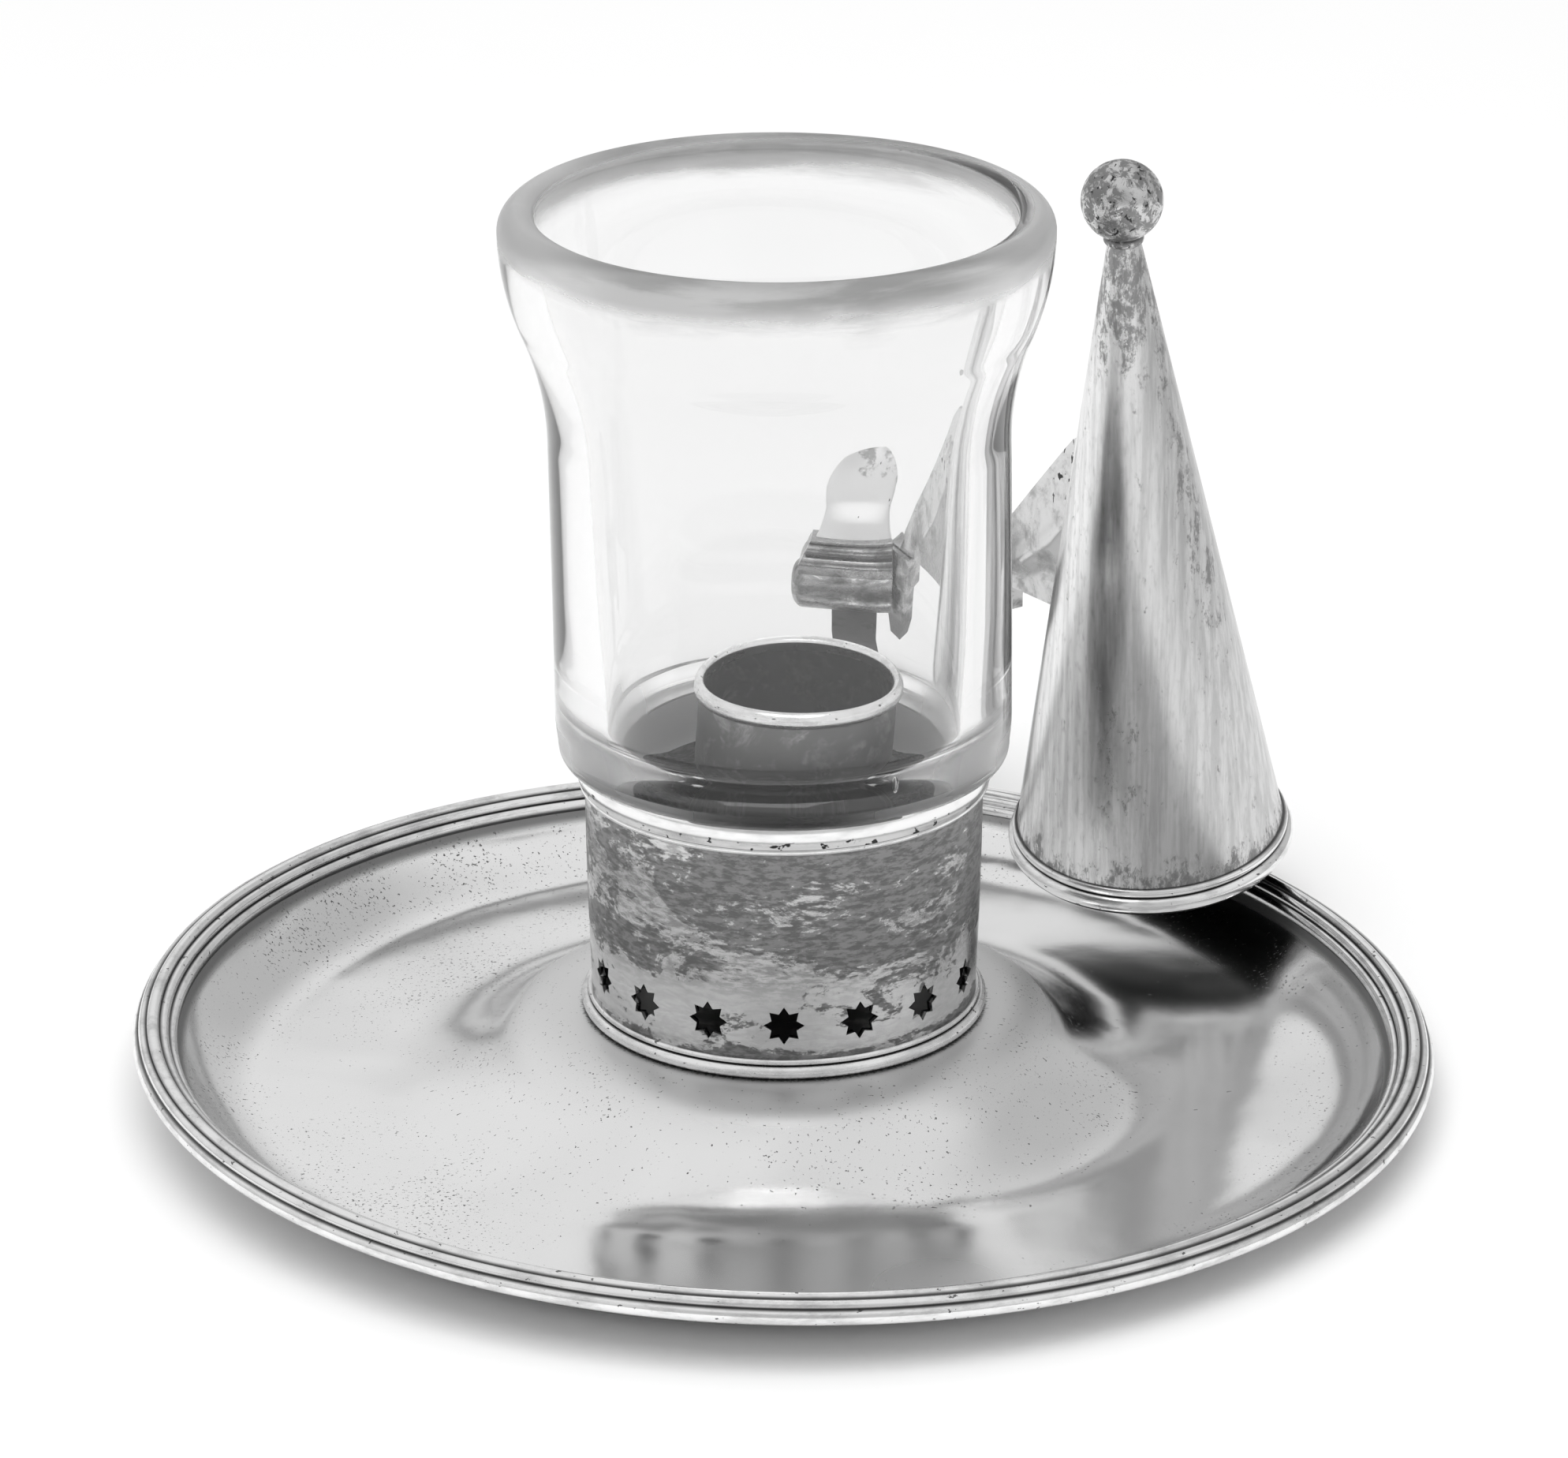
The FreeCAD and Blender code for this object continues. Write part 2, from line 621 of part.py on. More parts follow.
def build_pan():
    """Pan sheet: boss, tangent skirt, floor and wall, and the hollow under the boss."""
    keep(turned("drip_pan", [
        ("axis", "boss_top"),
        ("boss_flat_radius", "boss_top", "shoulder_radius", -1),
        ("knee_radius", "knee_height", "skirt_radius", 1),
        ("boss_skirt_radius", "pan_sheet"),
        ("wall_start_radius", "pan_sheet", "wall_radius", 1),
        ("wall_end_radius", "wall_end_height"),
        ("edge_radius", "edge_height", "wall_under_radius", -1),
        ("wall_start_radius", "axis"),
        ("boss_skirt_radius", "axis", "skirt_under_radius", -1),
        ("knee_under_radius", "knee_under_height", "shoulder_under_radius", 1),
        ("boss_flat_radius", "boss_under"),
        ("axis", "boss_under"),
    ]), "drip_pan")


def build_rim():
    """Five round reeds side by side on a flat underside, butted to the pan's edge."""
    keep(turned("reeded_rim", [
        ("wall_end_radius", "wall_end_height", "inner_reed_bulge_share", -1),
        ("inner_groove_radius", "inner_groove_height", "second_reed_bulge_share", -1),
        ("second_groove_radius", "second_groove_height", "crown_reed_bulge_share", -1),
        ("crown_groove_radius", "crown_groove_height", "fourth_reed_bulge_share", -1),
        ("edge_groove_radius", "edge_groove_height", "edge_reed_bulge_share", -1),
        ("edge_groove_radius", "edge_height"),
        ("edge_radius", "edge_height"),
    ]), "reeded_rim")


def build_gallery():
    """Pierced tube with a slight swell, its two foot wires, and the mouth band with a bead."""
    sleeve = turned("gallery_sleeve", [
        ("gallery_foot_bore", "boss_top"),
        ("gallery_foot_radius", "boss_top"),
        ("gallery_foot_radius", "gallery_swell_start", "gallery_bulge_share", 1),
        ("gallery_mouth_radius", "gallery_swell_end"),
        ("gallery_mouth_radius", "gallery_top"),
        ("gallery_mouth_bore", "gallery_top"),
        ("gallery_mouth_bore", "gallery_swell_end", "gallery_bulge_share", -1),
        ("gallery_foot_bore", "gallery_swell_start"),
    ])
    star = new_sketch(sleeve, "XZ_Plane")
    outline(star, [("star_across_%d" % point, "star_up_%d" % point)
                   for point in range(STAR_CORNERS)])
    hole = sleeve.newObject("PartDesign::Pocket", "star_hole")
    hole.Profile = star
    hole.Type = "ThroughAll"
    doc.recompute()
    ring = sleeve.newObject("PartDesign::PolarPattern", "star_ring")
    ring.Originals = [hole]
    ring.Axis = (base_item(sleeve, "Z_Axis"), [""])
    ring.Angle = 360
    ring.setExpression("Occurrences", bound("star_count"))
    sleeve.Tip = ring
    doc.recompute()
    keep(sleeve, "gallery_sleeve")
    keep(turned("gallery_foot_wire", [
        ("gallery_foot_radius", "boss_top"),
        ("foot_wire_edge", "boss_top", "foot_wire_bulge_share", 1),
        ("foot_wire_edge", "foot_wire_top"),
        ("gallery_foot_radius", "foot_wire_top"),
    ]), "gallery_foot_wire")
    keep(turned("gallery_foot_bead", [
        ("gallery_foot_radius", "foot_wire_top"),
        ("foot_bead_edge", "foot_wire_top", "foot_bead_bulge_share", 1),
        ("foot_bead_edge", "foot_bead_top"),
        ("gallery_foot_radius", "foot_bead_top"),
    ]), "gallery_foot_bead")
    keep(turned("gallery_band_bead", [
        ("gallery_mouth_radius", "band_bead_bottom"),
        ("band_bead_edge", "band_bead_bottom", "band_bead_bulge_share", 1),
        ("band_bead_edge", "band_bottom"),
        ("gallery_mouth_radius", "band_bottom"),
    ]), "gallery_band_bead")
    keep(turned("gallery_top_band", [
        ("gallery_mouth_radius", "band_bottom"),
        ("band_edge", "band_bottom", "band_bulge_share", 1),
        ("band_edge", "gallery_top"),
        ("gallery_mouth_radius", "gallery_top"),
    ]), "gallery_top_band")


def build_glass():
    """Shade: foot in the gallery, seat, barrel, flare with a thick lip, and the tapered bore."""
    keep(turned("glass_shade", [
        ("glass_foot_bore", "glass_foot_bottom"),
        ("glass_foot_radius", "glass_foot_bottom"),
        ("glass_foot_radius", "glass_seat"),
        ("glass_seat_radius", "glass_seat", "glass_hip_bulge_share", 1),
        ("glass_hip_radius", "glass_hip_height", "glass_barrel_bulge_share", 1),
        ("glass_barrel_radius", "glass_barrel_start"),
        ("glass_barrel_radius", "glass_flare_start", "flare_low_radius", -1),
        ("flare_join_radius", "flare_join_height", "flare_high_radius", 1),
        ("glass_lip_radius", "glass_lip_height", "glass_lip_bulge_share", 1),
        ("glass_crown_radius", "glass_top", "glass_crown_bulge_share", 1),
        ("glass_edge_radius", "glass_edge_height", "glass_edge_bulge_share", 1),
        ("glass_mouth_radius", "glass_mouth_height", "bore_high_radius", -1),
        ("bore_join_radius", "bore_join_height", "bore_low_radius", 1),
        ("bore_radius", "bore_flare_start"),
        ("waist_radius", "waist_height", "glass_waist_bulge_share", -1),
        ("glass_knee_radius", "glass_knee_height", "glass_knee_bulge_share", 1),
        ("glass_neck_radius", "glass_neck_height"),
    ]), "glass_shade")


def build_socket():
    """Candle tube with a rolled lip on its floor, carried by a narrower flanged stem."""
    keep(turned("candle_socket", [
        ("socket_bore_radius", "socket_floor_height"),
        ("socket_radius", "socket_floor_height"),
        ("socket_radius", "socket_tube_top"),
        ("socket_bore_radius", "socket_tube_top"),
    ]), "candle_socket")
    keep(turned("socket_rim", [
        ("socket_bore_radius", "socket_tube_top"),
        ("socket_bore_radius", "socket_lip_height", "socket_lip_bulge_share", -1),
        ("socket_crown_radius", "socket_crown_height", "socket_crown_bulge_share", -1),
        ("socket_rim_radius", "socket_rim_height", "socket_rim_bulge_share", -1),
        ("socket_heel_radius", "socket_heel_height"),
        ("socket_radius", "socket_heel_height"),
        ("socket_radius", "socket_tube_top"),
    ]), "socket_rim")
    keep(turned("socket_floor", [
        ("axis", "socket_floor_under"),
        ("socket_radius", "socket_floor_under"),
        ("socket_radius", "socket_floor_height"),
        ("axis", "socket_floor_height"),
    ]), "socket_floor")
    keep(turned("socket_foot", [
        ("socket_stem_bore", "boss_top"),
        ("socket_foot_radius", "boss_top"),
        ("socket_foot_radius", "socket_foot_brim"),
        ("socket_stem_radius", "socket_foot_top"),
        ("socket_stem_radius", "socket_floor_under"),
        ("socket_stem_bore", "socket_floor_under"),
    ]), "socket_foot")


def build_handle():
    """Finger loop, the roll on it, the reeded plinth and the leaning leaf-shaped thumbpiece."""
    loop = plate("strap_loop", [
        ("strap_start", "strap_low_under"),
        ("strap_bend_start", "strap_low_under", "strap_bend_outer", 1),
        ("strap_out", "strap_mid", "strap_bend_outer", 1),
        ("strap_bend_start", "strap_top"),
        ("roll_out", "strap_top"),
        ("roll_out", "strap_top_under"),
        ("strap_bend_start", "strap_top_under", "strap_bend_inner", -1),
        ("strap_in", "strap_mid", "strap_bend_inner", -1),
        ("strap_bend_start", "strap_low_top"),
        ("strap_start", "strap_low_top"),
    ], "strap_width", "YZ_Plane")
    loop.Placement = handle_place()
    core = doc.addObject("Part::Cylinder", "roll_core")
    core.setExpression("Radius", bound("roll_radius"))
    core.setExpression("Height", bound("trim_reach"))
    level = Rotation(Vector(0, 1, 0), 90)
    seat = handle_place("roll_out", "roll_height").multiply(
        Placement(Vector(-value("trim_reach") / 2, 0, 0), level))
    core.Placement = seat
    keep(combined("Part::Cut", "handle_strap", loop, core), "handle_strap")

    bar = turned("roll_bar", [
        ("- roll_left", "axis"),
        ("- roll_left", "roll_end_radius", "roll_end_round", -1),
        ("- roll_shoulder", "roll_radius"),
        ("roll_right", "roll_radius"),
        ("roll_right", "axis"),
    ], "H_Axis")
    bar.Placement = handle_place("roll_out", "roll_height")
    side = bound_box("slot_side", "trim_reach + trim_reach", "trim_reach", "trim_reach + trim_reach")
    side.Placement = bracket_place("- trim_reach", "slot_face")
    keep(combined("Part::Cut", "handle_roll", bar, side), "handle_roll")

    reeds = plate("plinth_reeds", [
        ("- saddle_half", "saddle_height"),
        ("- plinth_foot_half", "plinth_foot_height", "plinth_band_bulge_share", -1),
        ("- plinth_foot_half", "plinth_band_height"),
        ("- plinth_groove_half", "plinth_groove_low"),
        ("- plinth_groove_half", "plinth_groove_high"),
        ("- plinth_reed_half", "plinth_groove_high", "plinth_reed_bulge_share", -1),
        ("- plinth_reed_half", "plinth_reed_top"),
        ("- plinth_neck_half", "plinth_neck_height"),
        ("- plinth_top_half", "plinth_neck_height", "plinth_top_bulge_share", -1),
        ("- plinth_top_half", "plinth_top"),
        ("plinth_top_half", "plinth_top", "plinth_top_bulge_share", -1),
        ("plinth_top_half", "plinth_neck_height"),
        ("plinth_neck_half", "plinth_neck_height"),
        ("plinth_reed_half", "plinth_reed_top", "plinth_reed_bulge_share", -1),
        ("plinth_reed_half", "plinth_groove_high"),
        ("plinth_groove_half", "plinth_groove_high"),
        ("plinth_groove_half", "plinth_groove_low"),
        ("plinth_foot_half", "plinth_band_height", "plinth_band_bulge_share", -1),
        ("plinth_foot_half", "plinth_foot_height"),
        ("saddle_half", "saddle_height", "roll_radius", 1),
    ], "trim_reach", "YZ_Plane")
    reeds.Placement = handle_place("roll_out")
    front = plate("plinth_front", [
        ("- plinth_foot_left", "roll_height"),
        ("plinth_foot_right", "roll_height"),
        ("plinth_foot_right", "plinth_foot_height"),
        ("plinth_top_right", "plinth_top"),
        ("- plinth_top_left", "plinth_top"),
        ("- plinth_foot_left", "plinth_foot_height"),
    ], "trim_reach")
    front.Placement = handle_place("roll_out")
    block = combined("Part::Common", "plinth_block", reeds, front)
    keep(combined("Part::Cut", "handle_plinth", block, side), "handle_plinth")

    leaf = plate("thumb_leaf", [
        ("- thumb_base_left", "axis"),
        ("thumb_base_right", "axis", "thumb_neck_bulge_share", -1),
        ("thumb_neck_right", "thumb_neck_height", "thumb_side_bulge_share", 1),
        ("thumb_wide_right", "thumb_wide_height", "thumb_right_bulge_share", 1),
        ("thumb_tip_right", "thumb_tip_height", "thumb_tip_bulge_share", 1),
        ("thumb_crown_right", "thumb_crown_height", "thumb_crown_bulge_share", 1),
        ("- thumb_shoulder_left", "thumb_shoulder_height", "thumb_shoulder_bulge_share", 1),
        ("- thumb_wide_left", "thumb_wide_height", "thumb_side_bulge_share", 1),
        ("- thumb_neck_left", "thumb_neck_height", "thumb_neck_bulge_share", -1),
    ], "thumb_sheet")
    leaf.Placement = handle_place("roll_out", "thumb_foot", "thumb_lean_angle")
    top = bound_box("plinth_level", "trim_reach + trim_reach", "trim_reach + trim_reach", "plinth_top")
    corner = handle_place().multVec(Vector(-value("trim_reach"), value("roll_out - trim_reach"), 0))
    top.Placement = Placement(corner, handle_place().Rotation)
    keep(combined("Part::Cut", "thumb_cut", leaf, top), "thumbpiece")


def build_slot():
    """Rectangular sleeve at the roll's end, open above and below."""
    shell = bound_box("slot_shell", "slot_length", "slot_width", "slot_height")
    shell.Placement = bracket_place("- slot_left", "slot_face", "slot_bottom")
    passage = bound_box("slot_passage", "passage_length", "passage_width", "trim_reach")
    passage.Placement = bracket_place("- passage_left", "passage_face", "slot_bottom - slot_height")
    keep(combined("Part::Cut", "extinguisher_slot", shell, passage), "extinguisher_slot")


def build_bracket():
    """Bevelled tongue in the slot, and the sheet wing from its top to the cone."""
    tongue = plate("bracket_tongue", [
        ("- tongue_bevel_left", "tongue_bottom"),
        ("- tongue_bevel_right", "tongue_bottom"),
        ("- tongue_right", "tongue_bevel_top"),
        ("- tongue_right", "tongue_top"),
        ("- tongue_left", "tongue_top"),
        ("- tongue_left", "tongue_bevel_top"),
    ], "tongue_thickness")
    tongue.Placement = bracket_place("axis", "tongue_middle")
    keep(tongue, "bracket_tongue")
    sheet_wing = plate("wing_sheet_blank", [
        ("- wing_foot_left", "tongue_top"),
        ("wing_end_along", "tongue_top"),
        ("wing_end_along", "wing_top_height"),
        ("wing_top_along", "wing_top_height"),
        ("wing_bend_along", "wing_bend_height"),
        ("- wing_heel_left", "wing_heel_height", "wing_heel_bulge_share", -1),
    ], "wing_sheet")
    sheet_wing.Placement = bracket_place()
    core = doc.addObject("Part::Cone", "cone_core")
    core.setExpression("Radius1", bound("cone_edge_radius"))
    core.setExpression("Radius2", bound("cone_neck_radius"))
    core.setExpression("Height", bound("cone_length + cone_drop"))
    core.Placement = cone_place("- cone_drop")
    keep(combined("Part::Cut", "bracket_wing", sheet_wing, core), "bracket_wing")


def build_extinguisher():
    """Hollow sheet cone with two wires round its edge, and the ball on its collar."""
    rings = [
        turned("extinguisher_cone", [
            ("cone_edge_bore", "- cone_drop"),
            ("cone_edge_radius", "- cone_drop"),
            ("cone_neck_radius", "cone_length"),
            ("axis", "cone_length"),
            ("axis", "cone_cap_under"),
            ("cone_cap_bore", "cone_cap_under"),
        ]),
        turned("extinguisher_base_bead", [
            ("cone_edge_radius", "- cone_drop"),
            ("base_bead_rim", "- cone_drop", "base_bead_bulge_share", 1),
            ("base_bead_crest", "base_bead_rise"),
            ("base_bead_inner", "base_bead_rise"),
        ]),
        turned("extinguisher_upper_bead", [
            ("base_bead_inner", "base_bead_rise"),
            ("upper_bead_rim", "base_bead_rise", "upper_bead_bulge_share", 1),
            ("upper_bead_crest", "upper_bead_top"),
            ("upper_bead_inner", "upper_bead_top"),
        ]),
        turned("finial_collar", [
            ("axis", "cone_length"),
            ("collar_radius", "cone_length", "collar_bulge_share", 1),
            ("collar_radius", "collar_top"),
            ("axis", "collar_top"),
        ]),
        turned("ball_finial", [
            ("axis", "collar_top"),
            ("ball_seat_radius", "collar_top", "ball_radius", 1),
            ("ball_radius", "ball_height", "ball_radius", 1),
            ("axis", "ball_crown"),
        ]),
    ]
    for ring in rings:
        ring.Placement = cone_place()
        keep(ring, ring.Label)


def check_and_write():
    """Stops on any unsound piece, then writes each piece to its own file."""
    doc.recompute()
    for item in doc.Objects:
        if {"Invalid", "Error"} & set(item.State):
            raise RuntimeError("unsound object: " + item.Label)
    os.makedirs("parts", exist_ok=True)
    for piece in pieces:
        shape = piece.Shape
        if shape.isNull() or not shape.isValid() or len(shape.Solids) != 1:
            raise RuntimeError("unsound piece: " + piece.Label)
        shape.exportStep("parts/%s.step" % piece.Label)
        print(piece.Label, round(shape.Volume), shape.BoundBox)


fill_sheet()
build_pan()
build_rim()
build_gallery()
build_glass()
build_socket()
build_handle()
build_slot()
build_bracket()
build_extinguisher()
check_and_write()
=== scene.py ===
"""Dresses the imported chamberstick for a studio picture: silver plate, thick clear glass and a
pale table.

Sizes in the shape functions are millimetres and become metres when a mesh is made; places and
widths in the finishes are metres.  The settings of each step stand in its property group, and
the panel lists the steps.
"""
import bpy
import numpy as np
from math import acos, atan, ceil, copysign, cos, hypot, pi, radians, sin, sqrt, tan
from bpy.props import FloatProperty, FloatVectorProperty, PointerProperty
from bpy.types import Operator, Panel, PropertyGroup
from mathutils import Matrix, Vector


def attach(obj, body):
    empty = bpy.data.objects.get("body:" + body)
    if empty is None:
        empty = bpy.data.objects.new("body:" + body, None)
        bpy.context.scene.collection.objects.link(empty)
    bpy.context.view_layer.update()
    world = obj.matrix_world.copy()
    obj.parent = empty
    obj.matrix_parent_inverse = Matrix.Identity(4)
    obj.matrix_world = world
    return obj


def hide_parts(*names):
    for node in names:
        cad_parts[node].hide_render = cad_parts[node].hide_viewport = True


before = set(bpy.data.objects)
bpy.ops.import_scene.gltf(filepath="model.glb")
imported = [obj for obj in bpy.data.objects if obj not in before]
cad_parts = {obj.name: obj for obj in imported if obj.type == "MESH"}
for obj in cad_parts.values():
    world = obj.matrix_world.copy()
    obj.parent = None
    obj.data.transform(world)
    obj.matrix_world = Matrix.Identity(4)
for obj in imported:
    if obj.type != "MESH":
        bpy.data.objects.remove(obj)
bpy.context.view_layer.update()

bl_info = {
    "name": "Chamberstick",
    "version": (1, 0, 0),
    "blender": (4, 5, 0),
    "location": "View3D > Sidebar > Chamberstick",
    "description": "Silver chamberstick with a glass shade and an extinguisher",
    "category": "Add Mesh",
}

MM = 0.001

# Places of the loop, of the bracket and of the extinguisher: turns in degrees, feet in mm.
HANDLE_TURN = -9.6
BRACKET_TURN, BRACKET_FOOT = -54.0, (27.5, 66.5, 0.0)
CONE_FOOT, CONE_WAY = (45.61, 48.5, 11.33), (-0.071, -0.193, 1.0)

# Cone: radius at its edge and neck, how far the edge hangs below the foot, and the length above.
CONE_EDGE, CONE_NECK, CONE_DROP, CONE_LENGTH = 17.08, 1.99, 0.9, 82.9
CONE_SLOPE = (CONE_EDGE - CONE_NECK) / (CONE_DROP + CONE_LENGTH)


def colour_setting(name, description, grey):
    """Property of a colour that starts as a grey."""
    return FloatVectorProperty(name=name, description=description, default=(grey, grey, grey),
                               subtype="COLOR", min=0.0, max=1.0)


def number_setting(name, description, default, low, high, **kind):
    """Property of a number; a length that says so is in millimetres."""
    return FloatProperty(name=name, description=description, default=default, min=low, max=high,
                         **kind)


class Field:
    """A value, place or colour that shader nodes work out; arithmetic on values adds nodes."""

    def __init__(self, socket):
        self.socket = socket
        self.tree = socket.id_data

    def __add__(self, other):
        return arithmetic("ADD", self, other)

    def __sub__(self, other):
        return arithmetic("SUBTRACT", self, other)

    def __rsub__(self, other):
        return arithmetic("SUBTRACT", other, self)

    def __mul__(self, other):
        return arithmetic("MULTIPLY", self, other)

    def __truediv__(self, other):
        return arithmetic("DIVIDE", self, other)


def node(tree, kind, **settings):
    """A shader node with its properties set."""
    made = tree.nodes.new("ShaderNode" + kind)
    for key, content in settings.items():
        setattr(made, key, content)
    return made


def put(socket, source):
    """Links a field to an input, or sets the input to a constant."""
    if isinstance(source, Field):
        source.tree.links.new(source.socket, socket)
    else:
        socket.default_value = source


def feed(target, **sources):
    """Feeds a node's inputs by name; a space in a name is written as an underscore."""
    for key, source in sources.items():
        put(target.inputs[key.replace("_", " ")], source)


def output_of(kind, *sources, output=0, **settings):
    """One output of a new node whose inputs take the sources in order."""
    tree = next(source.tree for source in sources if isinstance(source, Field))
    made = node(tree, kind, **settings)
    for socket, source in zip(made.inputs, sources):
        put(socket, source)
    return Field(made.outputs[output])


def arithmetic(kind, *sources):
    """One step of arithmetic on values."""
    return output_of("Math", *sources, operation=kind)


def vector_step(kind, *sources, output="Vector"):
    """One step of arithmetic on places, giving a place or, as its output Value, a value."""
    return output_of("VectorMath", *sources, output=output, operation=kind)


def coordinates(tree, kind):
    """Object, Normal or Generated coordinates."""
    return Field(node(tree, "TexCoord").outputs[kind])


def split(place):
    """The parts of a place along X, Y and Z."""
    parts = node(place.tree, "SeparateXYZ")
    put(parts.inputs[0], place)
    return [Field(socket) for socket in parts.outputs]


def stretched(place, stretch, turn=(0, 0, 0)):
    """A place stretched and turned."""
    mapping = node(place.tree, "Mapping")
    feed(mapping, Vector=place, Rotation=turn, Scale=stretch)
    return Field(mapping.outputs["Vector"])


def clouds(place, scale, detail=4.0, roughness=0.5, distortion=0.0):
    """Soft noise, mostly between 0.3 and 0.7."""
    noise = node(place.tree, "TexNoise")
    feed(noise, Vector=place, Scale=scale, Detail=detail, Roughness=roughness,
         Distortion=distortion)
    return Field(noise.outputs["Fac"])


def rise(source, low, high, start=0.0, end=1.0):
    """Smooth step of a value from start to end while the source goes from low to high."""
    return output_of("MapRange", source, low, high, start, end, interpolation_type="SMOOTHSTEP")


def between(source, low, full_from, full_to, high):
    """Share that rises to 1 after the low level and falls back to 0 before the high one."""
    return rise(source, low, full_from) * rise(source, high, full_to)


def most(first, *others):
    """Largest of several values."""
    for other in others:
        first = arithmetic("MAXIMUM", first, other)
    return first


def blended(share, low, high):
    """Mix by a share of two colours, either of which may be a grey given as one number."""
    mixed = node(share.tree, "Mix", data_type="RGBA")
    put(mixed.inputs[0], share)
    for socket, source in ((mixed.inputs[6], low), (mixed.inputs[7], high)):
        if isinstance(source, float):
            source = (source, source, source)
        put(socket, source if isinstance(source, Field) else (*source, 1))
    return Field(mixed.outputs[2])


def bumped(height, strength, distance, **normal):
    """Unevenness from a height between 0 and 1 over a distance in metres, on top of a Normal."""
    bump = node(height.tree, "Bump")
    feed(bump, Height=height, Strength=strength, Distance=distance, **normal)
    return Field(bump.outputs["Normal"])


def blank(name):
    """A new material with a bare surface shader, and the object coordinates in it."""
    material = bpy.data.materials.new(name)
    material.use_nodes = True
    tree = material.node_tree
    tree.nodes.clear()
    surface = node(tree, "BsdfPrincipled")
    output = node(tree, "OutputMaterial")
    tree.links.new(surface.outputs[0], output.inputs["Surface"])
    return material, surface, coordinates(tree, "Object")


def axis_distance(place):
    """Distance from the Z axis of a place."""
    across, out, _ = split(place)
    return arithmetic("SQRT", across * across + out * out)


def near(place, centre, radius, soft):
    """Share that is 1 within the radius of a centre and falls to 0 over the soft edge."""
    gap = vector_step("DISTANCE", place, centre, output="Value")
    return rise(gap, radius, radius + soft, 1.0, 0.0)


def crevices(tree, reach):
    """Share from ambient occlusion that rises to 1 in grooves and corners narrower than about the
    reach, in metres; it places painted shade.
    """
    groove_shade = node(tree, "AmbientOcclusion", samples=8)
    groove_shade.inputs["Distance"].default_value = reach
    return rise(Field(groove_shade.outputs["AO"]), 0.72, 0.3)


def cone_frame(place):
    """Vector away from the cone's leaning axis, its length, and the height up that axis."""
    way = tuple(Vector(CONE_WAY).normalized())
    away = vector_step("SUBTRACT", place, tuple(part * MM for part in CONE_FOOT))
    height = vector_step("DOT_PRODUCT", away, way, output="Value")
    out = vector_step("SUBTRACT", away, vector_step("MULTIPLY", height, way))
    return out, vector_step("LENGTH", out, output="Value"), height


class ChamberstickFinish(PropertyGroup):
    """Colours of the plate and the glass."""

    bright_silver: colour_setting("Bright silver", "Colour of the clean plate", 0.88)
    dull_silver: colour_setting("Dull silver", "Colour of the dulled plate", 0.38)
    # Tarnish and dark tarnish also colour painted shade: on the pan's underside, in its rim
    # groove and under the gallery, on the handle's loop, in narrow grooves and inside the cone.
    tarnish_and_shade: colour_setting("Tarnish", "Colour of the grey tarnish", 0.17)
    dark_tarnish_and_shade: colour_setting("Dark tarnish", "Colour of pits and deep tarnish", 0.06)
    glass_tint: colour_setting("Glass", "Colour of the glass", 0.915)
    # The glass lip colour is a painted grey for the light the thick lip turns back.
    painted_lip_grey: colour_setting("Glass lip", "Colour of the glass along its lip", 0.46)


# The colour functions below take object coordinates in metres and the colour settings, and give
# the base colour and the share of tarnish, which in places also holds painted shade.


def pits_and_painted_shade(colour, share, deep, tints):
    """Colour and tarnish with a darkening added by its own share: real pits on some pieces,
    painted shade in grooves and hollows on others.
    """
    return blended(deep, colour, tints.dark_tarnish_and_shade), most(share, deep)


def pan_colour(place, tints):
    """Bright plate with fine specks, thicker toward the wall at the back left, with painted shade
    on the faces that look down, in the groove at the rim and under the gallery.
    """
    distance = axis_distance(place)
    fine = clouds(stretched(place, (1, 1.2, 1)), 2300.0, 2.0, 0.6)
    patchy = rise(clouds(place, 70.0, 4.0, 0.6), 0.35, 0.65, 0.4, 1.0)
    wall = rise(distance, 0.048, 0.066)
    back_left = near(place, (-0.046, 0.042, 0.0), 0.01, 0.05)
    front_left = near(place, (-0.048, -0.034, 0.0), 0.004, 0.04)
    skirt = between(distance, 0.0235, 0.027, 0.04, 0.05)
    crowd = most(wall * 0.6, back_left * 0.75, front_left * 0.75, skirt * 0.5) * patchy
    specks = rise(fine - (0.735 - crowd * 0.195), 0.0, 0.04)
    pits = rise(clouds(stretched(place, (1, 1.6, 1)), 700.0, 3.0, 0.6), 0.735, 0.75)
    haze = rise(clouds(place, 24.0, 3.0, 0.5, 0.5), 0.42, 0.72)
    # Painted shade in the groove where the pan meets the rim.
    rim_groove_shade = rise(distance, 0.0697, 0.0706)
    # Painted shade on the floor under the gallery.
    ring = rise(distance - fine * 0.003, 0.0226, 0.0216)
    worn = rise(distance, 0.036, 0.026)
    # Painted shade on the faces that look down.
    downward_shade = rise(split(coordinates(place.tree, "Normal"))[2], -0.1, -0.5)
    share = most(specks * 0.95, pits * 0.95, worn * 0.2, haze * 0.15, rim_groove_shade * 0.85, ring * 0.8,
                 downward_shade * 0.7)
    front = near(place, (0.006, -0.058, 0.003), 0.012, 0.014)
    rubbed = near(place, (0.017, -0.057, 0.003), 0.002, 0.015)
    return (blended(share, tints.bright_silver, tints.tarnish_and_shade),
            most(share, worn, front * 0.42, rubbed * 0.7))


